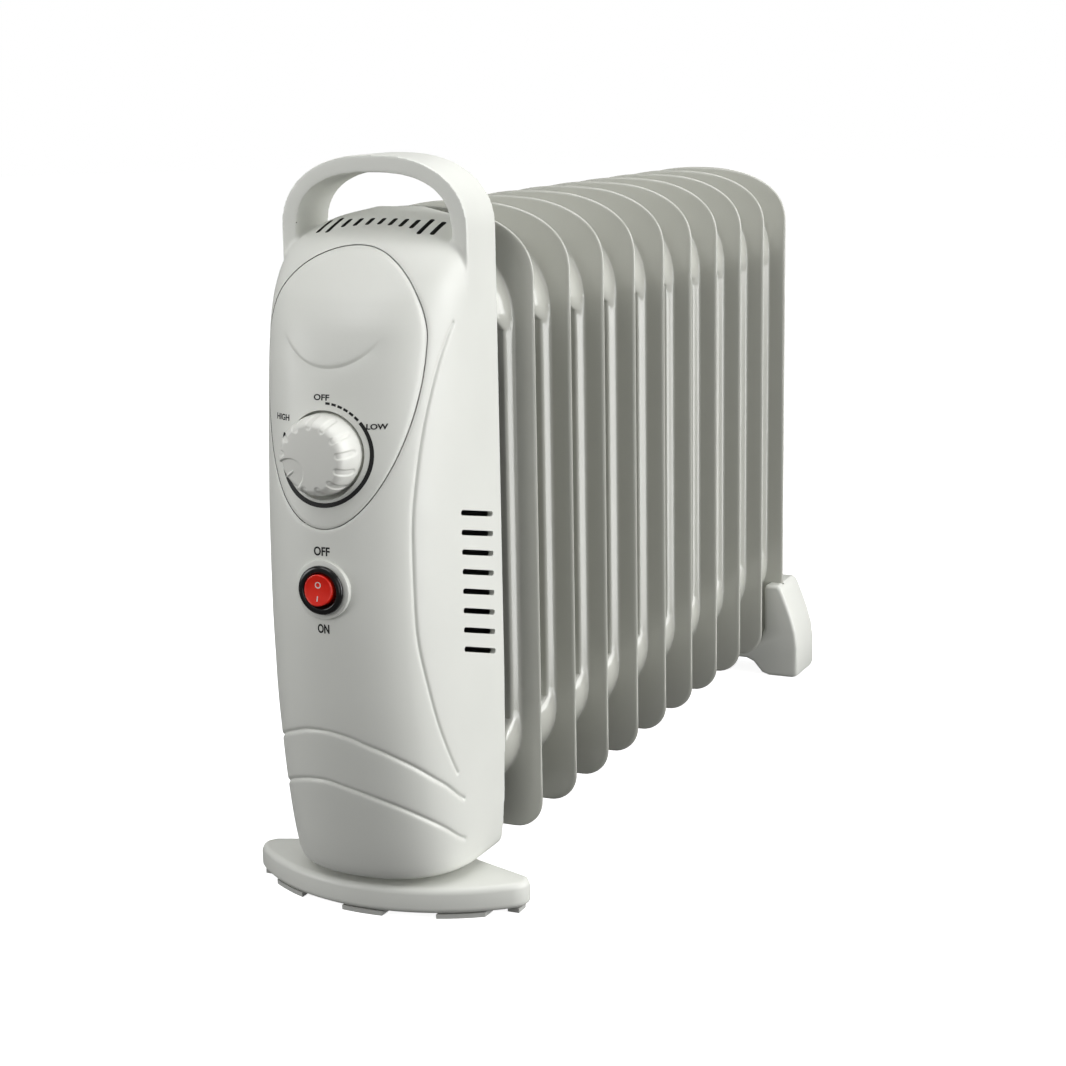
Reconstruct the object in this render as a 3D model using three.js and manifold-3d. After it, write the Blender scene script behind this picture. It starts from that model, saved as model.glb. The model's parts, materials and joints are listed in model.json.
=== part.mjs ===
// Oil filled radiator heater: ten pressed steel fins, a control housing with a handle at the
// front, and two feet. Millimetres, +Z up, +X to the right of someone facing the controls,
// +Y from the controls towards the back. The origin is at the bottom centre of the whole object.
import * as THREE from 'three';
import * as BufferGeometryUtils from 'three/addons/utils/BufferGeometryUtils.js';
import Module from 'manifold-3d';

const wasm = await Module();
wasm.setup();

// ---- Driving dimensions. Y values are measured from the first fin. ----
const GAP = 0.3;
const FIN_COUNT = 10;
const FIN_PITCH = 43.5;
const FIN_HALF_WIDTH = 60;
const FIN_BOTTOM = 23;
const FIN_SHOULDER = 300;
const FIN_TOP = 334.6;
const FIN_CORNER = 15;
const FLANGE_THICKNESS = 2;
const FLANGE_WIDTH = 10.5;
const POCKET_DEPTH = 10;
const POCKET_BEVEL = 2.5;
const HEADER_INSET = 13;
const HEADER_REACH = FIN_PITCH / 2 - GAP / 2;
const FRONT_HEADER_REACH = 16;
const OIL_BORE = 12;
const LOWER_BORE_Z = 58;
const UPPER_BORE_Z = 299;
const ARCH_POWER = 2.3;

const HOUSING_BACK = -18;
const WALL = 2.6;
const PLAN_POWER = 2.35;
const HANDLE_FRONT = -49;
const HANDLE_HALF_WIDTH = 49.2;
const HANDLE_TOP = 361;
const HANDLE_SPRING = 325;
const HANDLE_GRIP = 8.2;

const DIAL_Z = 229.2;
const DIAL_SEAT_Y = -96.5;
const DIAL_RECESS_RADIUS = 19.9;
const KNOB_RADIUS = 18.7;
const KNOB_BACK = DIAL_SEAT_Y - 0.6;
const KNOB_FRONT = -115.5;
const SHAFT_RADIUS = 3;

const SWITCH_Z = 167.2;
const SWITCH_BOSS_FACE = -108.2;
const SWITCH_BOSS_RADIUS = 14;
const BEZEL_RADIUS = 11.5;
const BEZEL_FACE = -110.4;
const SWITCH_BARREL_RADIUS = 9.8;
const ROCKER_RADIUS = 7.3;
const ROCKER_PIVOT_Y = -106.8;
const ROCKER_TILT = 7;

const PLATE_FRONT = HOUSING_BACK + GAP;
const PLATE_BACK = PLATE_FRONT + 1.4;
const SCREW_X = 41;
const SCREW_LEVELS = [110, 250];
const GLAND_Z = 50;
const GLAND_Y = -34;

const FOOT_HALF_WIDTH = 74;
const FOOT_ARC_RADIUS = 104;
const FOOT_ARC_CENTRE_Y = 20;
const FOOT_BASE = 2.6;
const FOOT_TOP = 15.6;
const CLAMP_BASE = 17.5;
const REAR_FOOT_FRONT = 381;
const REAR_FOOT_BACK = 417;
const LAST_FIN_Y = (FIN_COUNT - 1) * FIN_PITCH;
const OBJECT_CENTRE_Y = (KNOB_FRONT + REAR_FOOT_BACK) / 2;

// ---- Materials ----
const finish = (color, roughness, metalness) =>
  new THREE.MeshStandardMaterial({ color, roughness, metalness });
const bodyPlastic = finish(0xe1e2dc, 0.42, 0);
const finPaint = finish(0xdcddd5, 0.3, 0);
const blackPlastic = finish(0x151515, 0.35, 0);
const redRocker = finish(0xd8200f, 0.2, 0);
const steel = finish(0xb4b6b8, 0.35, 1);
const brass = finish(0xc9a75a, 0.3, 1);
const rubber = finish(0x2a2a2a, 0.85, 0);
const padRubber = finish(0xbdbeb8, 0.8, 0);
const phenolic = finish(0x3a2a20, 0.6, 0);

// ---- Solids ----
function toSolid(geometry) {
  const bare = geometry.clone();
  bare.deleteAttribute('normal');
  bare.deleteAttribute('uv');
  const merged = BufferGeometryUtils.mergeVertices(bare, 1e-4);
  return new wasm.Manifold(new wasm.Mesh({
    numProp: 3,
    vertProperties: new Float32Array(merged.attributes.position.array),
    triVerts: new Uint32Array(merged.index.array),
  }));
}

function toGeometry(solid) {
  const mesh = solid.getMesh();
  const geometry = new THREE.BufferGeometry();
  geometry.setAttribute('position', new THREE.BufferAttribute(mesh.vertProperties, 3));
  geometry.setIndex(new THREE.BufferAttribute(mesh.triVerts, 1));
  geometry.computeVertexNormals();
  return geometry;
}

const assembly = new THREE.Group();
assembly.position.y = -OBJECT_CENTRE_Y;

function place(name, solid, material) {
  const mesh = new THREE.Mesh(toGeometry(solid), material);
  mesh.name = name;
  assembly.add(mesh);
}

// A box given by its lowest and highest corners.
function block(low, high) {
  const size = high.map((value, i) => value - low[i]);
  const box = new THREE.BoxGeometry(...size);
  box.translate(...high.map((value, i) => (value + low[i]) / 2));
  return toSolid(box);
}

// A cylinder along Y between two depths.
function rodY(radius, x, z, y0, y1, sides = 24) {
  const rod = new THREE.CylinderGeometry(radius, radius, y1 - y0, sides);
  rod.translate(x, (y0 + y1) / 2, z);
  return toSolid(rod);
}

function rodX(radius, y, z, x0, x1, sides = 20) {
  const rod = new THREE.CylinderGeometry(radius, radius, x1 - x0, sides);
  rod.rotateZ(Math.PI / 2);
  rod.translate((x0 + x1) / 2, y, z);
  return toSolid(rod);
}

function rodZ(radius, x, y, z0, z1, sides = 20) {
  const rod = new THREE.CylinderGeometry(radius, radius, z1 - z0, sides);
  rod.rotateX(Math.PI / 2);
  rod.translate(x, y, (z0 + z1) / 2);
  return toSolid(rod);
}

// A front view outline given a depth along Y. The bevel rounds both ends inwards.
function slabY(shape, y0, y1, bevel = 0, bevelSegments = 1, bevelDepth = bevel) {
  const slab = new THREE.ExtrudeGeometry(shape, {
    depth: y1 - y0 - 2 * bevelDepth,
    bevelEnabled: bevel > 0,
    bevelThickness: bevelDepth,
    bevelSize: bevel,
    bevelOffset: -bevel,
    bevelSegments,
    curveSegments: 6,
  });
  slab.rotateX(Math.PI / 2);
  slab.translate(0, y1 - bevelDepth, 0);
  return toSolid(slab);
}

// A plan view outline given a height along Z, with its upper edge rounded and its underside flat.
function slabZ(shape, z0, z1, bevel = 0) {
  const slab = new THREE.ExtrudeGeometry(shape, {
    depth: z1 - z0 - bevel,
    bevelEnabled: bevel > 0,
    bevelThickness: bevel,
    bevelSize: bevel,
    bevelOffset: -bevel,
    bevelSegments: 2,
    curveSegments: 6,
  });
  slab.translate(0, 0, z0);
  return toSolid(slab).subtract(block([-200, -200, z0 - 20], [200, 200, z0]));
}

// The quarter curve |x/a|^n + |z/b|^n = 1 from its side to its top.
function archPoints(halfWidth, rise, count, power = ARCH_POWER) {
  const points = [];
  for (let i = 0; i <= count; i += 1) {
    const angle = (i / count) * Math.PI / 2;
    points.push([
      halfWidth * Math.cos(angle) ** (2 / power),
      rise * Math.sin(angle) ** (2 / power),
    ]);
  }
  return points;
}

// Straight sides, rounded lower corners and an arched top, symmetric about X = 0.
function archedPanel(halfWidth, bottom, shoulder, top, corner, steps = 6) {
  const right = [];
  const cornerSteps = 2;
  for (let i = 0; i <= cornerSteps; i += 1) {
    const angle = -Math.PI / 2 + (i / cornerSteps) * Math.PI / 2;
    right.push([
      halfWidth - corner + corner * Math.cos(angle),
      bottom + corner + corner * Math.sin(angle),
    ]);
  }
  archPoints(halfWidth, top - shoulder, steps).forEach(([x, z]) => right.push([x, shoulder + z]));
  const left = right.slice(0, -1).reverse().map(([x, z]) => [-x, z]);
  return new THREE.Shape([...right, ...left].map(([x, z]) => new THREE.Vector2(x, z)));
}

// ---- Fins ----
function makeFin(index) {
  const y = index * FIN_PITCH;
  const pocketHalfWidth = FIN_HALF_WIDTH - FLANGE_WIDTH;
  const pocketBottom = FIN_BOTTOM + FLANGE_WIDTH;
  const pocketTop = FIN_TOP - FLANGE_WIDTH;
  const pocketShoulder = FIN_SHOULDER - 4;
  const front = y - (index === 0 ? FRONT_HEADER_REACH : HEADER_REACH);
  const back = y + HEADER_REACH;

  const flange = slabY(
    archedPanel(FIN_HALF_WIDTH, FIN_BOTTOM, FIN_SHOULDER, FIN_TOP, FIN_CORNER, 6),
    y - FLANGE_THICKNESS / 2,
    y + FLANGE_THICKNESS / 2,
  );
  const pocket = slabY(
    archedPanel(pocketHalfWidth, pocketBottom, pocketShoulder, pocketTop, 12, 5),
    y - POCKET_DEPTH / 2,
    y + POCKET_DEPTH / 2,
    POCKET_BEVEL,
  );
  const upperHeader = slabY(
    archedPanel(pocketHalfWidth - 1, 274, pocketShoulder, pocketTop - 1, 14, 4),
    front,
    back,
    HEADER_INSET,
  );
  const lowerHeader = slabY(
    archedPanel(pocketHalfWidth - 1, pocketBottom + 1, 68, 84, 14, 3),
    front,
    back,
    HEADER_INSET,
  );
  const bores = [LOWER_BORE_Z, UPPER_BORE_Z]
    .map((z) => rodY(OIL_BORE, 0, z, front - 1, back + 1, 10))
    .reduce((a, b) => a.add(b));
  return flange.add(pocket).add(upperHeader).add(lowerHeader).subtract(bores);
}

for (let index = 0; index < FIN_COUNT; index += 1) {
  place(`fin_${String(index + 1).padStart(2, '0')}`, makeFin(index), finPaint);
}

// ---- Heating element in the lower bores ----
const ROD_RADIUS = 3.2;
const ROD_OFFSET = 6;
const ELEMENT_FRONT = -30;
const ELEMENT_END = LAST_FIN_Y - 10;
const FLANGE_BACK = -FRONT_HEADER_REACH - GAP;
const FLANGE_FRONT = FLANGE_BACK - 6;

function makeElement() {
  const lower = LOWER_BORE_Z - ROD_OFFSET;
  const upper = LOWER_BORE_Z + ROD_OFFSET;
  const rod = (z) => rodY(ROD_RADIUS, 0, z, ELEMENT_FRONT, ELEMENT_END + 0.5, 10);
  const bend = new THREE.TorusGeometry(ROD_OFFSET, ROD_RADIUS + 0.25, 10, 16);
  bend.rotateY(Math.PI / 2);
  bend.translate(0, ELEMENT_END, LOWER_BORE_Z);
  const beyond = block([-20, ELEMENT_END, 0], [20, ELEMENT_END + 30, 100]);
  return rod(lower).add(rod(upper)).add(toSolid(bend).intersect(beyond));
}
place('heating_element', makeElement(), steel);

const elementFlange = rodY(15, 0, LOWER_BORE_Z, FLANGE_FRONT, FLANGE_BACK, 6)
  .subtract(rodY(ROD_RADIUS + GAP, 0, LOWER_BORE_Z - ROD_OFFSET, FLANGE_FRONT - 1, FLANGE_BACK + 1, 12))
  .subtract(rodY(ROD_RADIUS + GAP, 0, LOWER_BORE_Z + ROD_OFFSET, FLANGE_FRONT - 1, FLANGE_BACK + 1, 12));
place('element_flange', elementFlange, brass);

[-1, 1].forEach((side) => {
  const z = LOWER_BORE_Z + side * ROD_OFFSET;
  const tab = block([-3.2, ELEMENT_FRONT - 9, z - 0.4], [3.2, ELEMENT_FRONT - GAP, z + 0.4]);
  place(`element_terminal_${side < 0 ? 'lower' : 'upper'}`, tab, brass);
});

// Rear closures of the two oil galleries.
const CAP_FRONT = LAST_FIN_Y + HEADER_REACH + GAP;
const fillerPlug = rodY(OIL_BORE + 2, 0, UPPER_BORE_Z, CAP_FRONT, CAP_FRONT + 1.4, 24)
  .add(rodY(6.5, 0, UPPER_BORE_Z, CAP_FRONT + 1, REAR_FOOT_BACK - 1, 6));
place('oil_filler_plug', fillerPlug, brass);
place('lower_gallery_cap', rodY(OIL_BORE + 2, 0, LOWER_BORE_Z, CAP_FRONT, CAP_FRONT + 2, 24), steel);

// ---- Control housing ----
// Each station is a height with the half width, the front depth and the depth where the
// side starts to curve round to the front.
const HOUSING_STATIONS = [
  { z: 19.6, half: 43.0, front: -84.0, side: -41 },
  { z: 22.5, half: 45.4, front: -87.6, side: -43 },
  { z: 30.0, half: 46.6, front: -90.6, side: -44 },
  { z: 48.0, half: 47.8, front: -95.0, side: -45 },
  { z: 75.0, half: 48.6, front: -100.3, side: -45 },
  { z: 115.0, half: 49.2, front: -105.4, side: -45 },
  { z: 155.0, half: 49.2, front: -107.2, side: -45 },
  { z: 195.0, half: 49.2, front: -106.0, side: -45 },
  { z: 232.0, half: 49.2, front: -102.4, side: -45 },
  { z: 264.0, half: 49.2, front: -98.0, side: -45 },
  { z: 284.0, half: 49.2, front: -93.0, side: -45 },
  { z: 297.0, half: 49.2, front: -86.6, side: -44 },
  { z: 307.0, half: 48.8, front: -78.6, side: -42 },
  { z: 315.0, half: 47.6, front: -70.5, side: -38 },
  { z: 321.0, half: 45.0, front: -61.5, side: -34 },
  { z: 326.0, half: 40.0, front: -50.0, side: -28 },
  { z: 331.0, half: 30.0, front: -36.0, side: -24 },
  { z: 335.5, half: 12.0, front: -23.0, side: -20 },
];

// A closed body through the stations. The inset moves its surface inwards.
function loftHousing(inset, back) {
  const stations = HOUSING_STATIONS.map((s) => ({
    z: s.z,
    half: Math.max(s.half - inset, 1),
    front: Math.min(s.front + inset, back - 1.5),
    side: Math.min(s.side, back - 1),
  }));
  stations[0].z += inset;
  const quarter = 7;
  const rings = stations.map((s) => {
    const ring = [new THREE.Vector3(s.half, back, s.z)];
    for (let i = 0; i <= 2 * quarter; i += 1) {
      const angle = (i / (2 * quarter)) * Math.PI;
      const c = Math.cos(angle);
      const sn = Math.sin(angle);
      const x = s.half * Math.sign(c) * Math.abs(c) ** (2 / PLAN_POWER);
      const depth = Math.abs(s.side - s.front) * sn ** (2 / PLAN_POWER);
      const zDrop = inset > 0 && s.z > HANDLE_SPRING - 30 ? inset * 0.8 : 0;
      ring.push(new THREE.Vector3(x, s.side - depth, s.z - zDrop));
    }
    ring.push(new THREE.Vector3(-s.half, back, s.z));
    return ring;
  });
  const positions = [];
  const count = rings[0].length;
  rings.forEach((ring) => ring.forEach((p) => positions.push(p.x, p.y, p.z)));
  const index = [];
  for (let r = 0; r + 1 < rings.length; r += 1) {
    for (let i = 0; i < count; i += 1) {
      const a = r * count + i;
      const b = r * count + ((i + 1) % count);
      index.push(a, a + count, b, b, a + count, b + count);
    }
  }
  const addCap = (start, flip) => {
    for (let i = 1; i + 1 < count; i += 1) {
      const triangle = [start, start + i, start + i + 1];
      index.push(...(flip ? triangle.reverse() : triangle));
    }
  };
  addCap(0, false);
  addCap((rings.length - 1) * count, true);
  const geometry = new THREE.BufferGeometry();
  geometry.setAttribute('position', new THREE.Float32BufferAttribute(positions, 3));
  geometry.setIndex(index);
  return toSolid(geometry);
}

const outerBody = loftHousing(0, HOUSING_BACK);
const innerBody = loftHousing(WALL, HOUSING_BACK + 2);

function handleProfile(halfWidth, top, bottom, power) {
  const right = archPoints(halfWidth, top - HANDLE_SPRING, 9, power)
    .map(([x, z]) => [x, HANDLE_SPRING + z]);
  const left = right.slice(0, -1).reverse().map(([x, z]) => [-x, z]);
  const points = [[-halfWidth, bottom], [halfWidth, bottom], ...right, ...left];
  return new THREE.Shape(points.map(([x, z]) => new THREE.Vector2(x, z)));
}

const handleOuter = slabY(
  handleProfile(HANDLE_HALF_WIDTH, HANDLE_TOP, 296, ARCH_POWER),
  HANDLE_FRONT,
  HOUSING_BACK,
);
const handleOpening = slabY(
  handleProfile(HANDLE_HALF_WIDTH - HANDLE_GRIP, HANDLE_TOP - HANDLE_GRIP, 290, 2.5),
  HANDLE_FRONT - 5,
  HOUSING_BACK + 5,
);

// The oval control insert, as a front view outline grown by a margin.
const INSERT_CENTRE_Z = 279.5;
const INSERT_HALF_WIDTH = 41;
const INSERT_RISE = 41;
const INSERT_DROP = 84.5;
function insertOutline(margin) {
  const points = [];
  const steps = 24;
  for (let i = 0; i < steps; i += 1) {
    const angle = (i / steps) * Math.PI * 2;
    const rise = Math.sin(angle) > 0 ? INSERT_RISE : INSERT_DROP;
    points.push(new THREE.Vector2(
      (INSERT_HALF_WIDTH + margin) * Math.cos(angle),
      INSERT_CENTRE_Z + (rise + margin) * Math.sin(angle),
    ));
  }
  return new THREE.Shape(points);
}

const insertDepth = [-130, -58];
const insertCutter = slabY(insertOutline(GAP / 2), ...insertDepth);
const insertKeeper = slabY(insertOutline(-GAP / 2), ...insertDepth);

// Vents: rounded slots down both sides and a row of short slots across the top.
const SIDE_VENT_COUNT = 8;
const SIDE_VENT_TOP = 194;
const SIDE_VENT_PITCH = 9.55;
const SIDE_VENT_HEIGHT = 2.6;
const SIDE_VENT_FRONT = -60.5;
const SIDE_VENT_BACK = -28.5;
const SIDE_VENT_FALL = 7;
// One slot through the right wall, lower at the back than at the front.
function sideVent(z) {
  const length = SIDE_VENT_BACK - SIDE_VENT_FRONT;
  const box = new THREE.BoxGeometry(30, length, SIDE_VENT_HEIGHT);
  box.rotateX(-Math.atan2(SIDE_VENT_FALL, length));
  box.translate(45, (SIDE_VENT_FRONT + SIDE_VENT_BACK) / 2, z);
  return toSolid(box);
}

function sideVents() {
  const cutters = [];
  for (let i = 0; i < SIDE_VENT_COUNT; i += 1) {
    const z = SIDE_VENT_TOP - i * SIDE_VENT_PITCH;
    const slot = sideVent(z);
    cutters.push(slot, slot.mirror([1, 0, 0]));
  }
  return cutters.reduce((a, b) => a.add(b));
}

const TOP_VENT_PITCH = 6.05;
function topVents() {
  const cutters = [];
  for (let i = -5; i <= 5; i += 1) {
    const x = i * TOP_VENT_PITCH;
    const long = Math.abs(i) === 4;
    const front = -43 - Math.abs(i) * 0.8 - (long ? 3 : 0);
    const back = long ? -33 : -36;
    cutters.push(block([x - 1.2, front, 300], [x + 1.2, back, 345]));
  }
  return cutters.reduce((a, b) => a.add(b));
}

function screwBoss(x, z) {
  const inner = x > 0 ? [x - 5, x + 7] : [x - 7, x + 5];
  return block([inner[0], -44, z - 5], [inner[1], HOUSING_BACK, z + 5])
    .intersect(outerBody)
    .subtract(rodY(1.9, x, z, -38, HOUSING_BACK + 1, 12));
}
const screwPlaces = SCREW_LEVELS.flatMap((z) => [[-SCREW_X, z], [SCREW_X, z]]);

const wallBody = outerBody.subtract(innerBody);
const handleRing = handleOuter.subtract(handleOpening).subtract(innerBody);
let housing = wallBody.add(handleRing);
screwPlaces.forEach(([x, z]) => {
  housing = housing.add(screwBoss(x, z));
});
housing = housing
  .add(rodY(SWITCH_BOSS_RADIUS, 0, SWITCH_Z, SWITCH_BOSS_FACE, -99, 28))
  .subtract(rodY(SWITCH_BARREL_RADIUS + GAP, 0, SWITCH_Z, -120, -90, 28))
  .subtract(insertCutter)
  .subtract(sideVents())
  .subtract(topVents())
  .subtract(rodX(7, GLAND_Y, GLAND_Z, -60, -40, 20));
place('housing_shell', housing, bodyPlastic);

// ---- Control insert with the round dial seat ----
const dialSeat = rodY(DIAL_RECESS_RADIUS + 2, 0, DIAL_Z, -110, DIAL_SEAT_Y + 3, 32)
  .intersect(outerBody)
  .intersect(insertKeeper);
const controlInsert = wallBody
  .intersect(insertKeeper)
  .add(dialSeat)
  .subtract(rodY(DIAL_RECESS_RADIUS, 0, DIAL_Z, -125, DIAL_SEAT_Y, 32))
  .subtract(rodY(SHAFT_RADIUS + 1.2, 0, DIAL_Z, -125, -85, 20));
place('control_insert', controlInsert, bodyPlastic);

// ---- Thermostat ----
const THERMOSTAT_FRONT = DIAL_SEAT_Y + 3 + GAP;
const thermostatBody = block([-17, THERMOSTAT_FRONT, DIAL_Z - 17], [17, THERMOSTAT_FRONT + 14, DIAL_Z + 17])
  .subtract(rodY(SHAFT_RADIUS + GAP, 0, DIAL_Z, THERMOSTAT_FRONT - 1, THERMOSTAT_FRONT + 9, 16));
place('thermostat_body', thermostatBody, phenolic);
[-1, 1].forEach((side) => {
  const x = side * 10;
  const name = side < 0 ? 'left' : 'right';
  const tab = block(
    [x - 3.2, THERMOSTAT_FRONT + 14 + GAP, DIAL_Z - 0.4],
    [x + 3.2, THERMOSTAT_FRONT + 24, DIAL_Z + 0.4],
  );
  place(`thermostat_terminal_${name}`, tab, brass);
});

const shaftFront = KNOB_FRONT + 7;
place(
  'thermostat_shaft',
  rodY(SHAFT_RADIUS, 0, DIAL_Z, shaftFront, THERMOSTAT_FRONT + 8, 16),
  brass,
);

// The knob is turned about the dial axis: a full skirt, softly tapered, with a domed face.
function makeKnob() {
  const depth = KNOB_BACK - KNOB_FRONT;
  const profile = [
    [0, 0], [KNOB_RADIUS, 0], [KNOB_RADIUS - 0.2, depth * 0.45], [KNOB_RADIUS - 1, depth * 0.72],
    [KNOB_RADIUS - 2.4, depth * 0.88], [KNOB_RADIUS - 5, depth * 0.96], [0, depth],
  ].map(([r, h]) => new THREE.Vector2(r, h));
  const turned = new THREE.LatheGeometry(profile, 40);
  turned.rotateX(Math.PI);
  turned.translate(0, KNOB_BACK, DIAL_Z);
  const bore = rodY(SHAFT_RADIUS + GAP, 0, DIAL_Z, shaftFront - GAP, KNOB_BACK + 1, 16);
  let knob = toSolid(turned).subtract(bore);
  const grips = 13;
  for (let i = 0; i < grips; i += 1) {
    const angle = (i / grips) * Math.PI * 2;
    const x = (KNOB_RADIUS + 1.3) * Math.cos(angle);
    const z = DIAL_Z + (KNOB_RADIUS + 1.3) * Math.sin(angle);
    knob = knob.subtract(rodY(2.1, x, z, KNOB_FRONT - 1, KNOB_BACK - 4, 8));
  }
  return knob;
}
place('thermostat_knob', makeKnob(), bodyPlastic);

// ---- Rocker switch ----
const BARREL_BACK = -84;
const switchBody = rodY(BEZEL_RADIUS, 0, SWITCH_Z, BEZEL_FACE, SWITCH_BOSS_FACE - GAP, 32)
  .add(rodY(SWITCH_BARREL_RADIUS, 0, SWITCH_Z, BEZEL_FACE + 1, BARREL_BACK, 28))
  .subtract(rodY(ROCKER_RADIUS + 0.9, 0, SWITCH_Z, BEZEL_FACE - 1, -97, 28));
place('switch_body', switchBody, blackPlastic);

function makeRocker() {
  const back = 5.5;
  const front = -6.2;
  const drum = rodY(ROCKER_RADIUS, 0, 0, front, back, 28);
  const dish = rodX(22, front - 20.8, 0, -20, 20, 48);
  const rocker = toGeometry(drum.subtract(dish));
  rocker.rotateX(THREE.MathUtils.degToRad(-ROCKER_TILT));
  rocker.translate(0, ROCKER_PIVOT_Y, SWITCH_Z);
  return toSolid(rocker);
}
place('switch_rocker', makeRocker(), redRocker);

for (let i = 0; i < 3; i += 1) {
  const z = SWITCH_Z + (i - 1) * 6;
  const tab = block([-3, BARREL_BACK + GAP, z - 0.4], [3, BARREL_BACK + 10, z + 0.4]);
  place(`switch_terminal_${i + 1}`, tab, brass);
}

// ---- Rear plate, its screws, and what it carries ----
const plateShape = archedPanel(46, 26, 300, 322, 8, 6);
let plate = slabY(plateShape, PLATE_FRONT, PLATE_BACK)
  .subtract(rodY(17, 0, LOWER_BORE_Z, PLATE_FRONT - 1, PLATE_BACK + 1, 24));
screwPlaces.forEach(([x, z]) => {
  plate = plate.subtract(rodY(2.2, x, z, PLATE_FRONT - 1, PLATE_BACK + 1, 12));
});
place('mounting_plate', plate, steel);

screwPlaces.forEach(([x, z], i) => {
  const screw = rodY(1.6, x, z, -34, PLATE_BACK + 1, 10)
    .add(rodY(3.4, x, z, PLATE_BACK + GAP, PLATE_BACK + 2.4, 12));
  place(`housing_screw_${i + 1}`, screw, steel);
});

const CARRIED_BACK = PLATE_FRONT - GAP;
place('thermal_cutout', rodY(8, 20, 262, CARRIED_BACK - 6, CARRIED_BACK, 20), phenolic);
place('terminal_block', block([-26, CARRIED_BACK - 16, 92], [26, CARRIED_BACK, 106]), bodyPlastic);

// The cord enters through a flanged bush low on the left side.
function makeGland() {
  const profile = [[3.6, -6], [6.6, -6], [6.6, 2.8], [9.5, 2.8], [9.5, 5], [3.6, 5], [3.6, -6]]
    .map(([r, h]) => new THREE.Vector2(r, h));
  const bush = new THREE.LatheGeometry(profile, 24);
  bush.rotateZ(Math.PI / 2);
  bush.translate(-47, GLAND_Y, GLAND_Z);
  return toSolid(bush);
}
place('cord_gland', makeGland(), rubber);

// ---- Feet ----
function clampAt(y) {
  const slot = FLANGE_THICKNESS / 2 + GAP;
  return block([-9, y - slot - 2.5, CLAMP_BASE], [9, y + slot + 2.5, 33])
    .subtract(block([-10, y - slot, FIN_BOTTOM - GAP], [10, y + slot, 40]))
    .add(rodZ(2.5, 0, y, 3.4, CLAMP_BASE + 1, 14));
}

function wingNutAt(y) {
  return rodZ(5, 0, y, 4.4, 8.8, 16)
    .add(block([-9.5, y - 1, 4.8], [9.5, y + 1, 8]))
    .subtract(rodZ(2.8, 0, y, 0, 12, 14));
}

// Points along the bowed front edge between two distances from the centre line.
function footArc(x0, x1, radius, steps) {
  const points = [];
  for (let i = 0; i <= steps; i += 1) {
    const x = x0 + ((x1 - x0) * i) / steps;
    points.push([x, FOOT_ARC_CENTRE_Y - Math.sqrt(radius ** 2 - x ** 2)]);
  }
  return points;
}

// Front foot: a bowed bar whose back edge runs in to a tongue below the first fin.
function frontFoot() {
  const half = footArc(0, FOOT_HALF_WIDTH - 5, FOOT_ARC_RADIUS, 8);
  half.push([FOOT_HALF_WIDTH, -51], [FOOT_HALF_WIDTH, -47], [FOOT_HALF_WIDTH - 3, -42.5]);
  half.push([40, -31], [31, -25.5], [25.5, -20], [22, -12], [22, 12]);
  const left = half.slice(1).reverse().map(([x, y]) => [-x, y]);
  const outline = new THREE.Shape([...half, ...left].map(([x, y]) => new THREE.Vector2(x, y)));
  return slabZ(outline, FOOT_BASE, FOOT_TOP, 3)
    .add(block([-14, -10, FOOT_TOP - 4], [14, 10, CLAMP_BASE - GAP]))
    .subtract(rodZ(11, 0, 0, 0, 9.2, 24))
    .subtract(rodZ(3, 0, 0, 0, 30, 14));
}
place('front_foot', frontFoot(), bodyPlastic);
place('front_foot_clamp', clampAt(0), steel);
place('front_foot_wing_nut', wingNutAt(0), steel);

// Rear foot: a low bridge with two raised ears that hold the last fin in a slot.
function rearFoot() {
  const half = [
    [38, 10.5], [43, 8.5], [49, 1.6], [54, 0], [71, 0], [74, 3], [74, 20], [72.6, 31],
    [69.4, 42], [63.5, 57], [60.5, 61], [53, 62], [50.5, 59.5], [50.5, 32], [44, 22.2],
    [14, 22.2], [14, CLAMP_BASE - GAP],
  ];
  const left = half.slice().reverse().map(([x, z]) => [-x, z]);
  const outline = new THREE.Shape([...half, ...left].map(([x, z]) => new THREE.Vector2(x, z)));
  const slotHalf = FLANGE_THICKNESS / 2 + 0.4;
  return slabY(outline, REAR_FOOT_FRONT, REAR_FOOT_BACK, 2)
    .subtract(block(
      [-FIN_HALF_WIDTH - 0.6, LAST_FIN_Y - slotHalf, FIN_BOTTOM - 0.6],
      [FIN_HALF_WIDTH + 0.6, LAST_FIN_Y + slotHalf, 80],
    ))
    .subtract(rodZ(11, 0, LAST_FIN_Y, 0, 13, 24))
    .subtract(rodZ(3, 0, LAST_FIN_Y, 0, 30, 14));
}
place('rear_foot', rearFoot(), bodyPlastic);
place('rear_foot_clamp', clampAt(LAST_FIN_Y), steel);
place('rear_foot_wing_nut', wingNutAt(LAST_FIN_Y), steel);

// Thin pads under the front foot, set in a little from its bowed front edge.
const PAD_TOP = FOOT_BASE - GAP;
const PAD_INSET = 1.5;
const PAD_DEPTH = 9;
function frontPad(name, x0, x1) {
  const front = footArc(x0, x1, FOOT_ARC_RADIUS - PAD_INSET, 4);
  const back = footArc(x0, x1, FOOT_ARC_RADIUS - PAD_INSET - PAD_DEPTH, 4).reverse();
  const outline = new THREE.Shape([...front, ...back].map(([x, y]) => new THREE.Vector2(x, y)));
  place(name, slabZ(outline, 0, PAD_TOP), padRubber);
}
frontPad('foot_pad_centre', -11, 11);
frontPad('foot_pad_left', -58, -37);
frontPad('foot_pad_right', 37, 58);
place('foot_pad_left_end', block([-71, -54, 0], [-65, -46, PAD_TOP]), padRubber);
place('foot_pad_right_end', block([65, -54, 0], [71, -46, PAD_TOP]), padRubber);
place('foot_pad_tongue', block([-8, -36, 0], [8, -26, PAD_TOP]), padRubber);

export default assembly;
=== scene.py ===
"""Oil filled radiator heater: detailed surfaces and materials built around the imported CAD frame."""
import json
import math

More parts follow.
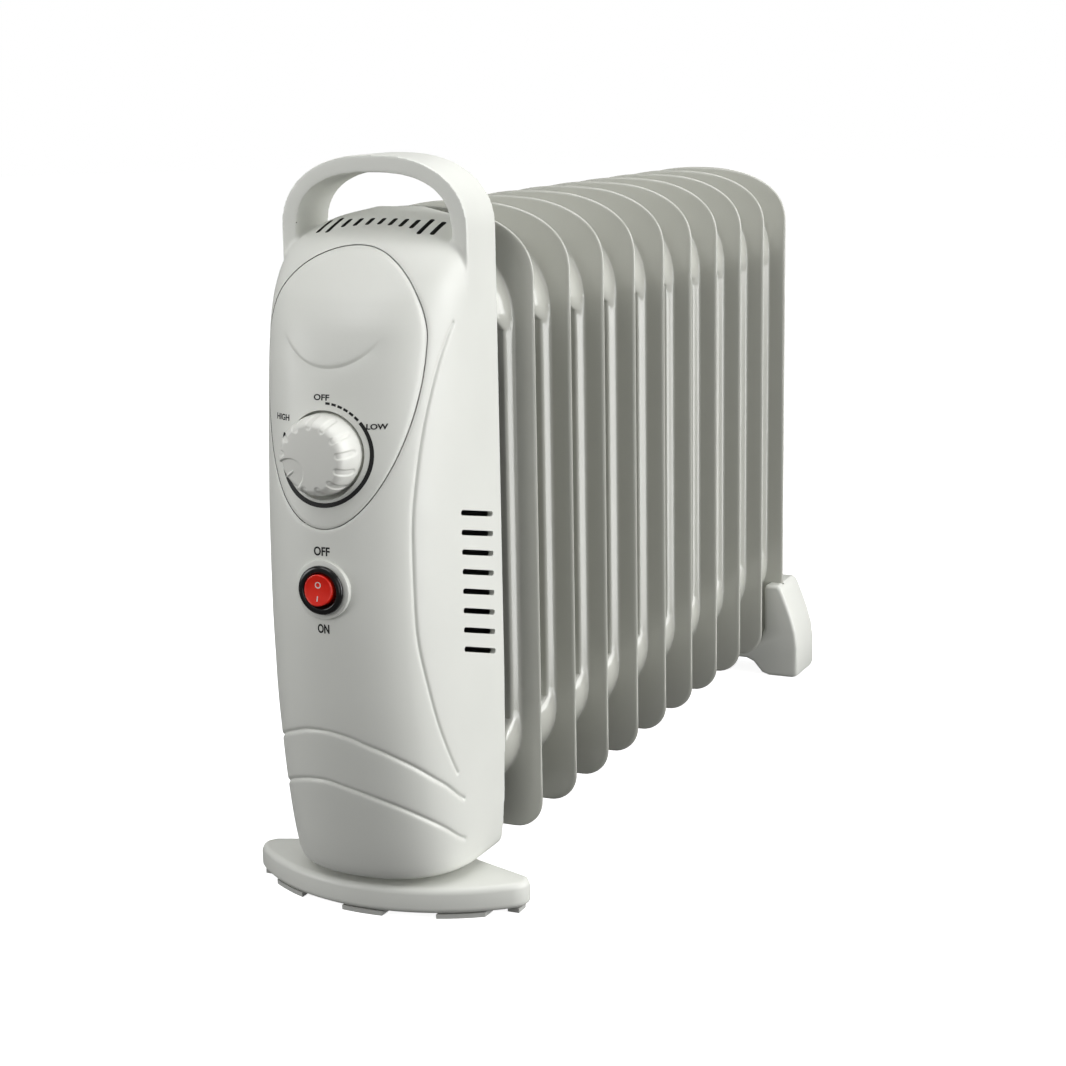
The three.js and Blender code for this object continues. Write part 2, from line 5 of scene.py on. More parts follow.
import bmesh
import bpy
import numpy as np
from mathutils import Matrix, Vector
from mathutils.bvhtree import BVHTree


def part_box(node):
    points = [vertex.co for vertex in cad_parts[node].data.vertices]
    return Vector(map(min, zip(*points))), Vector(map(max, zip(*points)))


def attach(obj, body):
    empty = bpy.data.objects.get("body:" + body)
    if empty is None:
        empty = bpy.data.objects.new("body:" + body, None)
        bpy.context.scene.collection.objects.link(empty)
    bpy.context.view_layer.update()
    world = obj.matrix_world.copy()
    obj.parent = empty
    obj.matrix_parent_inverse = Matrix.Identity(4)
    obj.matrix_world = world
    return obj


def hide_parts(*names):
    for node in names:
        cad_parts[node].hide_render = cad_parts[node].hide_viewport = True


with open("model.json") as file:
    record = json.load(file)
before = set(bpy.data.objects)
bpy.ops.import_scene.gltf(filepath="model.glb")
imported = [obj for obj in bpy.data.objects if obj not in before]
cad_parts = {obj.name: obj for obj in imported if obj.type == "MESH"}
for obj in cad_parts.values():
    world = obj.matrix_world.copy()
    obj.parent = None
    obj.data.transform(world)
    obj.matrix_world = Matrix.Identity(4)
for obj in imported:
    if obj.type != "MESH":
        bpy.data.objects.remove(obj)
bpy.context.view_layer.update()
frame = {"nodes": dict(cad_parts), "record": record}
nodes = frame["nodes"]

# ---- Measures taken from the frame. Working units are millimetres, with Y from the first fin. ----
MM = 0.001
FIN_COUNT = sum(1 for name in nodes if name.startswith("fin_"))


def middle(node):
    low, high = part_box(node)
    return (low + high) / 2


SECOND_FIN_Y = middle("fin_02").y / MM
PITCH = middle("fin_03").y / MM - SECOND_FIN_Y
FIRST_FIN_Y = SECOND_FIN_Y - PITCH


def low_mm(node):
    low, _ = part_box(node)
    return Vector((low.x / MM, low.y / MM - FIRST_FIN_Y, low.z / MM))


def high_mm(node):
    _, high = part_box(node)
    return Vector((high.x / MM, high.y / MM - FIRST_FIN_Y, high.z / MM))


FIN_HALF = high_mm("fin_02").x
FIN_BOTTOM = low_mm("fin_02").z
FIN_TOP = high_mm("fin_02").z
HEADER_REACH = high_mm("fin_02").y - PITCH
FRONT_REACH = -low_mm("fin_01").y
BODY_HALF = high_mm("housing_shell").x
BODY_BACK = high_mm("housing_shell").y
HANDLE_TOP = high_mm("housing_shell").z
DIAL_Z = (low_mm("thermostat_knob").z + high_mm("thermostat_knob").z) / 2
KNOB_RADIUS = high_mm("thermostat_knob").x
KNOB_BACK = high_mm("thermostat_knob").y
KNOB_FRONT = low_mm("thermostat_knob").y
BEZEL_RADIUS = high_mm("switch_body").x
BEZEL_FACE = low_mm("switch_body").y
SWITCH_Z = (low_mm("switch_body").z + high_mm("switch_body").z) / 2
FOOT_HALF = high_mm("front_foot").x
FOOT_BASE = low_mm("front_foot").z
REAR_FOOT_FRONT = low_mm("rear_foot").y
REAR_FOOT_BACK = high_mm("rear_foot").y

GAP = 0.25  # between the control insert and its window in the housing, on each side
WALL = 2.6
VOXEL = 0.95


# ---- Mesh helpers ----
def metres(points):
    out = np.asarray(points, float) * MM
    out[:, 1] += FIRST_FIN_Y * MM
    return out


def make_object(name, points, faces, material=None, smooth=True):
    """A mesh object from points in millimetres."""
    mesh = bpy.data.meshes.new(name)
    mesh.from_pydata(metres(points).tolist(), [], [tuple(f) for f in faces])
    mesh.validate()
    obj = bpy.data.objects.new(name, mesh)
    bpy.context.scene.collection.objects.link(obj)
    set_smooth(obj, smooth)
    if material:
        mesh.materials.append(material)
    return obj


def set_smooth(obj, smooth=True):
    obj.data.polygons.foreach_set("use_smooth", [smooth] * len(obj.data.polygons))


def outward(obj):
    """Turns every face of a closed mesh to point out."""
    bm = bmesh.new()
    bm.from_mesh(obj.data)
    bmesh.ops.remove_doubles(bm, verts=bm.verts, dist=1e-6)
    bmesh.ops.recalc_face_normals(bm, faces=bm.faces)
    bm.to_mesh(obj.data)
    bm.free()
    return obj


def bake(obj):
    """Applies the object's modifiers."""
    graph = bpy.context.evaluated_depsgraph_get()
    mesh = bpy.data.meshes.new_from_object(obj.evaluated_get(graph))
    old = obj.data
    obj.modifiers.clear()
    obj.data = mesh
    mesh.name = obj.name
    bpy.data.meshes.remove(old)
    return obj


def modify(obj, kind, **values):
    mod = obj.modifiers.new(kind.lower(), kind)
    for key, value in values.items():
        setattr(mod, key, value)
    return bake(obj)


def combine(obj, other, operation):
    """A boolean with a closed cutter, which is then deleted."""
    modify(obj, "BOOLEAN", operation=operation, object=other, solver="MANIFOLD")
    mesh = other.data
    bpy.data.objects.remove(other)
    bpy.data.meshes.remove(mesh)
    return obj


def copy_of(obj, name):
    twin = bpy.data.objects.new(name, obj.data.copy())
    bpy.context.scene.collection.objects.link(twin)
    return twin


def joined(name, parts, material=None):
    """One object from several, which are deleted."""
    bm = bmesh.new()
    for part in parts:
        bm.from_mesh(part.data)
    mesh = bpy.data.meshes.new(name)
    bm.to_mesh(mesh)
    bm.free()
    for part in parts:
        old = part.data
        bpy.data.objects.remove(part)
        bpy.data.meshes.remove(old)
    obj = bpy.data.objects.new(name, mesh)
    bpy.context.scene.collection.objects.link(obj)
    set_smooth(obj)
    if material:
        mesh.materials.append(material)
    return obj


def ring_faces(rings, count, closed=True):
    """Quads between consecutive rings of equal length."""
    faces = []
    for r in range(rings - 1):
        for i in range(count if closed else count - 1):
            j = (i + 1) % count
            a, b = r * count, (r + 1) * count
            faces.append((a + i, a + j, b + j, b + i))
    return faces


def prism(name, outline, axis, start, end):
    """A closed prism: outline points are the two other coordinates in X, Y, Z order."""
    count = len(outline)
    points = []
    for level in (start, end):
        for p in outline:
            point = list(p)
            point.insert(axis, level)
            points.append(point)
    faces = ring_faces(2, count)
    faces.append(tuple(range(count)))
    faces.append(tuple(range(2 * count - 1, count - 1, -1)))
    return outward(make_object(name, points, faces))


def turned(name, profile, centre_x, centre_z, sides, material=None):
    """A closed body of revolution about a line along Y: profile is (radius, y), ends on the axis."""
    points = []
    for radius, y in profile:
        for i in range(sides):
            angle = 2 * math.pi * i / sides
            points.append((centre_x + radius * math.cos(angle), y, centre_z + radius * math.sin(angle)))
    obj = make_object(name, points, ring_faces(len(profile), sides), material)
    return outward(obj)


def stadium(a, b, radius, steps=8):
    """The outline of a round ended slot between two points."""
    angle = math.atan2(b[1] - a[1], b[0] - a[0])
    points = []
    for centre, start in ((b, angle - math.pi / 2), (a, angle + math.pi / 2)):
        for i in range(steps + 1):
            t = start + math.pi * i / steps
            points.append((centre[0] + radius * math.cos(t), centre[1] + radius * math.sin(t)))
    return points


def circle(radius, u, v, steps):
    """The outline of a round hole about a point."""
    angles = [2 * math.pi * i / steps for i in range(steps)]
    return [(u + radius * math.cos(t), v + radius * math.sin(t)) for t in angles]


def smoothstep(value, low, high):
    t = np.clip((value - low) / (high - low), 0, 1)
    return t * t * (3 - 2 * t)


def distance_to_line(points, line):
    """The distance of each 2-D point to a polyline."""
    best = np.full(len(points), 1e9)
    for a, b in zip(line[:-1], line[1:]):
        a, b = np.asarray(a, float), np.asarray(b, float)
        step = b - a
        t = np.clip(((points - a) @ step) / max(step @ step, 1e-12), 0, 1)
        best = np.minimum(best, np.linalg.norm(points - (a + t[:, None] * step), axis=1))
    return best


def spline(knots, values, at):
    """A smooth curve through the knots that never overshoots them."""
    knots, values = np.asarray(knots, float), np.asarray(values, float)
    rise = np.diff(values) / np.diff(knots)
    product = rise[:-1] * rise[1:]
    total = np.where(product > 0, rise[:-1] + rise[1:], 1)
    slope = np.concatenate([rise[:1], np.where(product > 0, 2 * product / total, 0), rise[-1:]])
    i = np.clip(np.searchsorted(knots, at) - 1, 0, len(knots) - 2)
    width = knots[i + 1] - knots[i]
    t = (at - knots[i]) / width
    return (
        values[i] * (1 + 2 * t) * (1 - t) ** 2
        + values[i + 1] * t * t * (3 - 2 * t)
        + width * (slope[i] * t * (1 - t) ** 2 - slope[i + 1] * t * t * (1 - t))
    )


def coordinates(mesh):
    """Vertex positions in millimetres."""
    co = np.empty(len(mesh.vertices) * 3)
    mesh.vertices.foreach_get("co", co)
    co = co.reshape(-1, 3) / MM
    co[:, 1] -= FIRST_FIN_Y
    return co


def vertex_normals(mesh):
    normals = np.empty(len(mesh.vertices) * 3)
    mesh.vertices.foreach_get("normal", normals)
    return normals.reshape(-1, 3)


def set_coordinates(mesh, co):
    mesh.vertices.foreach_set("co", metres(co).ravel())
    mesh.update()


# ---- Materials ----
def shader(name, colour, rough, slot_metal=0.0):
    material = bpy.data.materials.new(name)
    material.use_nodes = True
    tree = material.node_tree
    principled = tree.nodes["Principled BSDF"]
    principled.inputs["Base Color"].default_value = (*colour, 1)
    principled.inputs["Roughness"].default_value = rough
    principled.inputs["Metallic"].default_value = slot_metal
    return material, tree, principled


def noise(tree, scale, detail=3.0, stretch=None):
    place = tree.nodes.new("ShaderNodeTexCoord")
    texture = tree.nodes.new("ShaderNodeTexNoise")
    texture.inputs["Scale"].default_value = scale
    texture.inputs["Detail"].default_value = detail
    if stretch:
        mapping = tree.nodes.new("ShaderNodeMapping")
        mapping.inputs["Scale"].default_value = stretch
        tree.links.new(place.outputs["Object"], mapping.inputs["Vector"])
        tree.links.new(mapping.outputs["Vector"], texture.inputs["Vector"])
    else:
        tree.links.new(place.outputs["Object"], texture.inputs["Vector"])
    return texture


def ramp(tree, source, stops):
    """A colour ramp over a 0 to 1 value: stops are (position, colour)."""
    node = tree.nodes.new("ShaderNodeValToRGB")
    elements = node.color_ramp.elements
    elements[0].position, elements[0].color = stops[0][0], (*stops[0][1], 1)
    elements[1].position, elements[1].color = stops[-1][0], (*stops[-1][1], 1)
    for position, colour in stops[1:-1]:
        elements.new(position).color = (*colour, 1)
    tree.links.new(source, node.inputs["Fac"])
    return node.outputs["Color"]


def spread(tree, source, low, high):
    """Maps a 0 to 1 value onto a range."""
    node = tree.nodes.new("ShaderNodeMapRange")
    node.inputs["From Min"].default_value = 0.3
    node.inputs["From Max"].default_value = 0.7
    node.inputs["To Min"].default_value = low
    node.inputs["To Max"].default_value = high
    tree.links.new(source, node.inputs["Value"])
    return node.outputs["Result"]


def bump(tree, principled, source, strength, distance):
    node = tree.nodes.new("ShaderNodeBump")
    node.inputs["Strength"].default_value = strength
    node.inputs["Distance"].default_value = distance
    tree.links.new(source, node.inputs["Height"])
    tree.links.new(node.outputs["Normal"], principled.inputs["Normal"])
    return node


def tone(colour, factor):
    return tuple(c * factor for c in colour)


def surface(name, colour, rough, metal=0.0, grain=900.0, grain_depth=0.00004, vary=0.05, rough_vary=0.06,
            stretch=None):
    """A finish with faint colour and gloss variation and a fine surface texture."""
    material, tree, principled = shader(name, colour, rough, metal)
    broad = noise(tree, 18.0, 4.0)
    stops = [(0.3, tone(colour, 1 - vary)), (0.7, tone(colour, 1 + vary / 2))]
    shade = ramp(tree, broad.outputs["Fac"], stops)
    tree.links.new(shade, principled.inputs["Base Color"])
    patch = noise(tree, 60.0, 3.0)
    value = spread(tree, patch.outputs["Fac"], rough - rough_vary, rough + rough_vary)
    tree.links.new(value, principled.inputs["Roughness"])
    fine = noise(tree, grain, 2.0, stretch)
    bump(tree, principled, fine.outputs["Fac"], 0.35, grain_depth)
    return material


def glossy_enamel(name, colour):
    """Sprayed and baked enamel: a clear gloss over faint orange peel."""
    material, tree, principled = shader(name, colour, 0.3)
    principled.inputs["Coat Weight"].default_value = 0.6
    principled.inputs["Coat Roughness"].default_value = 0.1
    broad = noise(tree, 14.0, 4.0)
    shade = ramp(tree, broad.outputs["Fac"], [(0.3, tone(colour, 0.985)), (0.7, tone(colour, 1.01))])
    tree.links.new(shade, principled.inputs["Base Color"])
    patch = noise(tree, 45.0, 3.0)
    tree.links.new(spread(tree, patch.outputs["Fac"], 0.2, 0.24), principled.inputs["Roughness"])
    peel = noise(tree, 420.0, 1.0)
    bump(tree, principled, peel.outputs["Fac"], 0.18, 0.00006)
    return material


OFF_WHITE = (0.735, 0.745, 0.700)
BLACK = (0.012, 0.012, 0.012)
plastic = surface("moulded_plastic", OFF_WHITE, 0.42, grain=1500.0, grain_depth=0.00003, vary=0.02)
knob_plastic = surface("knob_plastic", (0.76, 0.765, 0.72), 0.34, grain=1800.0, grain_depth=0.00002,
                       vary=0.02)
enamel = glossy_enamel("fin_enamel", (0.56, 0.565, 0.515))
print_ink = surface("black_print", (0.004, 0.004, 0.004), 0.6, grain=2500.0, vary=0.2)
white_ink = surface("white_print", (0.8, 0.8, 0.78), 0.5, grain=2500.0)
zinc = surface("zinc_steel", (0.55, 0.56, 0.57), 0.36, metal=1.0, grain=700.0, vary=0.12)
brushed = surface("plain_steel", (0.5, 0.51, 0.52), 0.34, metal=1.0, grain=500.0, vary=0.08,
                  stretch=(1, 1, 12))
brass = surface("brass", (0.62, 0.44, 0.18), 0.32, metal=1.0, grain=700.0, vary=0.15)
rubber = surface("rubber", (0.03, 0.03, 0.03), 0.75, grain=1200.0, vary=0.2)
pad_rubber = surface("pad_rubber", (0.5, 0.505, 0.48), 0.7, grain=1200.0, vary=0.06)
# Painted shade: a near-black material for the housing's inner faces and vent walls, where the inside lies in
# shadow.
inside_painted_shade = surface("housing_inside_painted_shade", (0.03, 0.03, 0.028), 0.8, grain=900.0, vary=0.2)
bezel_black = surface("switch_black", BLACK, 0.16, grain=1600.0, grain_depth=0.00001, vary=0.2,
                      rough_vary=0.03)
phenolic = surface("phenolic", (0.06, 0.035, 0.022), 0.55, grain=900.0, vary=0.25)


def red_rocker_material():
    """Translucent red polycarbonate over a dark cavity."""
    colour = (0.85, 0.02, 0.006)
    material, tree, principled = shader("red_rocker", colour, 0.18)
    principled.inputs["Coat Weight"].default_value = 0.5
    principled.inputs["Coat Roughness"].default_value = 0.08
    principled.inputs["Subsurface Weight"].default_value = 0.25
    principled.inputs["Subsurface Radius"].default_value = (0.004, 0.0006, 0.0003)
    cloud = noise(tree, 120.0, 2.0)
    shade = ramp(tree, cloud.outputs["Fac"], [(0.25, (0.72, 0.012, 0.004)), (0.75, (0.9, 0.03, 0.01))])
    tree.links.new(shade, principled.inputs["Base Color"])
    patch = noise(tree, 300.0, 2.0)
    tree.links.new(spread(tree, patch.outputs["Fac"], 0.14, 0.24), principled.inputs["Roughness"])
    return material


red = red_rocker_material()

# ---- Control housing ----
# Height, half width, front depth, and the depth where the side starts to curve to the front.
STATIONS = np.array([
    (19.6, 43.0, -84.0, -41), (22.5, 45.4, -87.6, -43), (30.0, 46.6, -90.6, -44), (48.0, 47.8, -95.0, -45),
    (75.0, 48.6, -100.3, -45), (115.0, 49.2, -105.4, -45), (155.0, 49.2, -107.2, -45),
    (195.0, 49.2, -106.0, -45), (232.0, 49.2, -102.4, -45), (264.0, 49.2, -98.0, -45),
    (284.0, 49.2, -93.0, -45), (297.0, 49.2, -86.6, -44), (307.0, 48.8, -78.6, -42),
    (315.0, 47.6, -70.5, -38), (321.0, 45.0, -61.5, -34), (326.0, 40.0, -50.0, -28),
    (331.0, 30.0, -36.0, -24), (335.5, 12.0, -23.0, -20),
])
PLAN_POWER = 2.35
HANDLE_FRONT = -49.0
HANDLE_SPRING = 325.0
HANDLE_GRIP = 8.2
HANDLE_ROOT = 298
HANDLE_HOLE_POWER = 2.5
ARCH_POWER = 2.3
BODY_FLOOR, BODY_CROWN = STATIONS[0, 0], STATIONS[-1, 0]
FLOOR_EDGE = STATIONS[1, 0]
CROWN_START = 296.0


def body_solid(name, inset=0.0, back=BODY_BACK):
    """The housing's body without its handle, or the same body set in from its surface."""
    levels = np.concatenate([np.linspace(BODY_FLOOR, FLOOR_EDGE, 5)[:-1],
                             np.linspace(FLOOR_EDGE, CROWN_START, 90)[:-1],
                             np.linspace(CROWN_START, BODY_CROWN, 44)])
    half = spline(STATIONS[:, 0], STATIONS[:, 1], levels)
    front = spline(STATIONS[:, 0], STATIONS[:, 2], levels)
    side = spline(STATIONS[:, 0], STATIONS[:, 3], levels)
    steps = 72
    angle = np.linspace(0, math.pi, steps + 1)
    reach = np.sign(np.cos(angle)) * np.abs(np.cos(angle)) ** (2 / PLAN_POWER)
    depth = np.sin(angle).clip(0) ** (2 / PLAN_POWER)
    points = []
    for z, h, f, s in zip(levels, half, front, side):
        h = max(h - inset, 1)
        f = min(f + inset, back - 1.5)
        s = min(s, back - 1)
        lift = z + inset if z < 30 else z - inset * 0.8 * (z > 295)
        points.append((h, back, lift))
        points += [(h * r, s - abs(s - f) * d, lift) for r, d in zip(reach, depth)]
        points.append((-h, back, lift))
    count = steps + 3
    faces = ring_faces(len(levels), count)
    faces.append(tuple(range(count)))
    last = (len(levels) - 1) * count
    faces.append(tuple(range(last + count - 1, last - 1, -1)))
    return outward(make_object(name, points, faces))


def arch(half, top, power, bottom, steps=36):
    """An upright arch outline in X, Z from its left foot over the top to its right foot."""
    right = []
    for i in range(steps + 1):
        t = i / steps * math.pi / 2
        right.append((half * math.cos(t) ** (2 / power),
                      HANDLE_SPRING + (top - HANDLE_SPRING) * math.sin(t) ** (2 / power)))
    left = [(-x, z) for x, z in right]
    return [(-half, bottom)] + left + right[::-1][1:] + [(half, bottom)]


def handle_solid():
    outer = arch(BODY_HALF, HANDLE_TOP, ARCH_POWER, HANDLE_ROOT)
    inner = arch(BODY_HALF - HANDLE_GRIP, HANDLE_TOP - HANDLE_GRIP, HANDLE_HOLE_POWER, HANDLE_ROOT)
    count = len(outer)
    points = []
    for outline, y in ((outer, HANDLE_FRONT), (outer, BODY_BACK), (inner, BODY_BACK), (inner, HANDLE_FRONT)):
        points += [(x, y, z) for x, z in outline]
    faces = []
    for k in range(4):
        a, b = k * count, ((k + 1) % 4) * count
        faces += [(a + i, a + i + 1, b + i + 1, b + i) for i in range(count - 1)]
    faces.append((0, count, 2 * count, 3 * count))
    faces.append(tuple(k * count + count - 1 for k in (3, 2, 1, 0)))
    return outward(make_object("handle", points, faces))


INSERT_CENTRE_Z = 279.5
INSERT_HALF = 41.0
INSERT_RISE = 41.0
INSERT_DROP = 84.5


def insert_outline(margin, steps=160):
    points = []
    for i in range(steps):
        angle = 2 * math.pi * i / steps
        rise = INSERT_RISE if math.sin(angle) > 0 else INSERT_DROP
        points.append(((INSERT_HALF + margin) * math.cos(angle),
                       INSERT_CENTRE_Z + (rise + margin) * math.sin(angle)))
    return points


def curve_points(knots, steps=60):
    """A smooth 2-D curve through a few points."""
    knots = np.asarray(knots, float)
    along = np.concatenate([[0], np.cumsum(np.linalg.norm(np.diff(knots, axis=0), axis=1))])
    at = np.linspace(0, along[-1], steps)
    return np.stack([spline(along, knots[:, 0], at), spline(along, knots[:, 1], at)], axis=1)


def body_front(x, z):
    """The depth of the body's outer surface at points given in X and Z."""
    half = spline(STATIONS[:, 0], STATIONS[:, 1], z)
    front = spline(STATIONS[:, 0], STATIONS[:, 2], z)
    side = spline(STATIONS[:, 0], STATIONS[:, 3], z)
    across = np.clip(np.abs(x) / half, 0, 1) ** PLAN_POWER
    return side - np.abs(side - front) * (1 - across) ** (1 / PLAN_POWER)


def groove(knots):
    """A line along the body's surface through a few points in X and Z."""
    flat = curve_points(knots)
    return np.stack([flat[:, 0], body_front(flat[:, 0], flat[:, 1]), flat[:, 1]], axis=1)


SIDE_GROOVE = groove([(47.4, 286), (43.6, 262), (39.4, 226), (37.6, 192), (38.1, 150), (41.5, 112),
                      (46.2, 72)])
UPPER_GROOVE = groove([(-47.2, 77), (-42, 84), (-34, 89.8), (-24.3, 94), (-14, 97.2), (-5, 97.8),
                       (7.8, 95.8), (15.6, 92.6), (22.6, 89.3), (29, 85), (34.7, 80.1), (39.7, 73.9),
                       (43.9, 66.7), (46.8, 57.5)])
LOWER_GROOVE = groove([(-46.4, 52.4), (-42, 59.5), (-34, 65.2), (-25.8, 68.8), (-15.5, 71.4), (-8, 71.9),
                       (4.8, 69.5), (12.8, 67.1), (20.2, 64.1), (26.9, 60.5), (32.9, 56.2), (38.3, 50.9),
                       (42.6, 44.8), (45.8, 36.5)])
# Each groove with its width and its depth.
GROOVES = ((SIDE_GROOVE, 0.85, 0.7), (UPPER_GROOVE, 0.95, 0.85), (LOWER_GROOVE, 0.95, 0.85))
SEAM_WIDTH, SEAM_DEPTH = 0.9, 0.45
CRESCENT_CENTRE = (0.0, 297.4)
CRESCENT_RADIUS = 29.9
CRESCENT_DEPTH = 0.95
CRESCENT_LIP, CRESCENT_FADE = 1.1, 3.5


def relief(co, normals):
    """How far each point of the skin moves inwards, in millimetres."""
    flat = co[:, [0, 2]]
    folded = np.concatenate([np.abs(co[:, :1]), co[:, 1:]], axis=1)
    facing = smoothstep(-normals[:, 1], 0.02, 0.2) * (co[:, 1] < HANDLE_FRONT - 4)
    depth = np.zeros(len(co))
    for line, width, deep in GROOVES:
        points = folded if line is SIDE_GROOVE else co
        near = distance_to_line(points, line)
        depth = np.maximum(depth, deep * np.exp(-((near / width) ** 2)))
    seam = insert_outline(0)
    near = distance_to_line(flat, seam + seam[:1])
    depth = np.maximum(depth, SEAM_DEPTH * np.exp(-((near / SEAM_WIDTH) ** 2)))
    away = np.hypot(flat[:, 0] - CRESCENT_CENTRE[0], flat[:, 1] - CRESCENT_CENTRE[1]) - CRESCENT_RADIUS
    low = smoothstep(CRESCENT_CENTRE[1] - flat[:, 1], 14, 24)
    step = np.where(away < 0, np.exp(-((away / CRESCENT_LIP) ** 2)), np.exp(-away / CRESCENT_FADE))
    step = step * CRESCENT_DEPTH
    depth = np.maximum(depth, step * low)
    return depth * facing


LEAST_RELIEF = 0.03


def refine(obj):
    """Splits the mesh finer wherever there is relief."""
    mesh = obj.data
    relieved = relief(coordinates(mesh), vertex_normals(mesh)) > LEAST_RELIEF
    bm = bmesh.new()
    bm.from_mesh(mesh)
    bm.verts.ensure_lookup_table()
    edges = [e for e in bm.edges if relieved[e.verts[0].index] and relieved[e.verts[1].index]]
    bmesh.ops.subdivide_edges(bm, edges=edges, cuts=1, use_grid_fill=True)
    bm.to_mesh(mesh)
    bm.free()


def emboss(obj):
    """Presses the relief into the skin."""
    mesh = obj.data
    co = coordinates(mesh)
    normals = vertex_normals(mesh)
    set_coordinates(mesh, co - normals * relief(co, normals)[:, None])


SEAT_Y = KNOB_BACK + 0.6
RECESS_RADIUS = KNOB_RADIUS + 1.2
RECESS_FLARE = 0.9
BOSS_RADIUS = BEZEL_RADIUS + 2.5
BOSS_FACE = BEZEL_FACE + 2.2
BARREL_RADIUS = 9.8
SIDE_VENTS = 8
# The side vents slant: Y and the heights of the top and bottom vent at each end.
VENT_FRONT_Y, VENT_FRONT_TOP, VENT_FRONT_BOTTOM = -59.2, 197.1, 131.3
VENT_BACK_Y, VENT_BACK_TOP, VENT_BACK_BOTTOM = -29.8, 190.8, 122.9
SIDE_VENT_HALF = 1.3
TOP_VENT_PITCH = 6.05
TOP_VENT_HALF = 1.15
TOP_VENT_INSET = 1.1


def side_vent_cutters():
    cutters = []
    for i in range(SIDE_VENTS):
        t = i / (SIDE_VENTS - 1)
        front_z = VENT_FRONT_TOP + (VENT_FRONT_BOTTOM - VENT_FRONT_TOP) * t
        back_z = VENT_BACK_TOP + (VENT_BACK_BOTTOM - VENT_BACK_TOP) * t
        outline = stadium((VENT_FRONT_Y, front_z), (VENT_BACK_Y, back_z), SIDE_VENT_HALF)
        for side in (-1, 1):
            low, high = sorted((side * 38, side * 60))
            cutters.append(prism("vent", outline, 0, low, high))
    return cutters


def top_vent_cutters():
    """Eleven slots across the top: the two at each end are longer."""
    cutters = []
    for i in range(-5, 6):
        x = i * TOP_VENT_PITCH
        rank = abs(i)
        front = -43 - rank * 0.8 - (3.5 if rank == 4 else 0) - (1.0 if rank == 5 else 0)
        back = -33.5 if rank >= 4 else -36
        outline = stadium((x, front + TOP_VENT_INSET), (x, back - TOP_VENT_INSET), TOP_VENT_HALF)
        cutters.append(prism("vent", outline, 2, 300, 344))
    return cutters


def build_housing():
    """The housing's skin and the control insert, cut from one remeshed body."""
    skin = joined("housing_skin", [body_solid("body"), handle_solid()])
    modify(skin, "REMESH", mode="VOXEL", voxel_size=VOXEL * MM, use_smooth_shade=True)
    modify(skin, "SMOOTH", factor=0.5, iterations=3)
    refine(skin)
    refine(skin)
    emboss(skin)
    inner = body_solid("inner", WALL, BODY_BACK + 6)
    combine(skin, inner, "DIFFERENCE")
    panel = copy_of(skin, "control_panel")
    boss = [(0, BOSS_FACE), (BOSS_RADIUS - 0.7, BOSS_FACE), (BOSS_RADIUS - 0.2, BOSS_FACE + 0.2),
            (BOSS_RADIUS, BOSS_FACE + 0.7), (BOSS_RADIUS, -102), (0, -102)]
    combine(skin, turned("boss", boss, 0, SWITCH_Z, 128), "UNION")
    combine(skin, joined("vents", side_vent_cutters() + top_vent_cutters()), "DIFFERENCE")
    combine(skin, prism("window", insert_outline(GAP), 1, -130, -58), "DIFFERENCE")
    hole = turned("hole", [(0, -120), (BARREL_RADIUS + 0.3, -120), (BARREL_RADIUS + 0.3, -88), (0, -88)],
                  0, SWITCH_Z, 64)
    combine(skin, hole, "DIFFERENCE")
    gland = middle_mm("cord_gland")
    combine(skin, tube_x("gland_hole", 7.0, gland.y, gland.z, -60, -40), "DIFFERENCE")

    seat = turned("seat", [(0, SEAT_Y + 3), (RECESS_RADIUS + 2, SEAT_Y + 3), (RECESS_RADIUS + 2, -112),
                           (0, -112)], 0, DIAL_Z, 96)
    combine(seat, body_solid("seat_limit", 0.35, BODY_BACK + 6), "INTERSECT")
    combine(panel, prism("window", insert_outline(-GAP), 1, -130, -58), "INTERSECT")
    combine(panel, seat, "UNION")
    recess = [(0, SEAT_Y), (RECESS_RADIUS - 0.8, SEAT_Y), (RECESS_RADIUS - 0.2, SEAT_Y - 0.4),
              (RECESS_RADIUS, SEAT_Y - 1), (RECESS_RADIUS, -101.6), (RECESS_RADIUS + RECESS_FLARE, -105),
              (RECESS_RADIUS + RECESS_FLARE, -125), (0, -125)]
    combine(panel, turned("recess", recess, 0, DIAL_Z, 128), "DIFFERENCE")
    bore = turned("bore", [(0, -125), (4.2, -125), (4.2, -85), (0, -85)], 0, DIAL_Z, 32)
    combine(panel, bore, "DIFFERENCE")
    return skin, panel


VENTS_HALF = 34


def paint_inside_shade(obj, material):
    """Gives the inner faces of the housing and the walls of the top vents a near-black second material as
    painted shade, and leaves the handle's legs alone.
    """
    obj.data.materials.append(material)
    count = len(obj.data.polygons)
    centre = np.empty(count * 3)
    normal = np.empty(count * 3)
    obj.data.polygons.foreach_get("center", centre)
    obj.data.polygons.foreach_get("normal", normal)
    centre = centre.reshape(-1, 3) / MM
    centre[:, 1] -= FIRST_FIN_Y
    normal = normal.reshape(-1, 3)
    towards_middle = normal[:, 0] * centre[:, 0] + normal[:, 1] * (centre[:, 1] + 45)
    across = np.abs(centre[:, 0])
    side = (towards_middle < 0) & (centre[:, 2] < 321) & (np.abs(normal[:, 2]) < 0.9)
    side &= (centre[:, 2] < 312) | (across < 36)
    roof = (normal[:, 2] < -0.25) & (centre[:, 2] > 288) & (centre[:, 2] < 334)
    roof &= (centre[:, 2] < 330) | (across < 30)
    within = (across < 47.2) & (centre[:, 1] > -106)
    # The top vents' walls also get the painted shade, so the slots read dark.
    slot_wall = (np.abs(normal[:, 2]) < 0.02) & (centre[:, 2] > 316) & (centre[:, 2] < 334)
    slot_wall &= (centre[:, 1] < BODY_BACK - 12) & (centre[:, 1] > HANDLE_FRONT - 3) & (across < VENTS_HALF)
    painted_shade_faces = ((side | roof) & within) | slot_wall
    obj.data.polygons.foreach_set("material_index", painted_shade_faces.astype(np.int32))


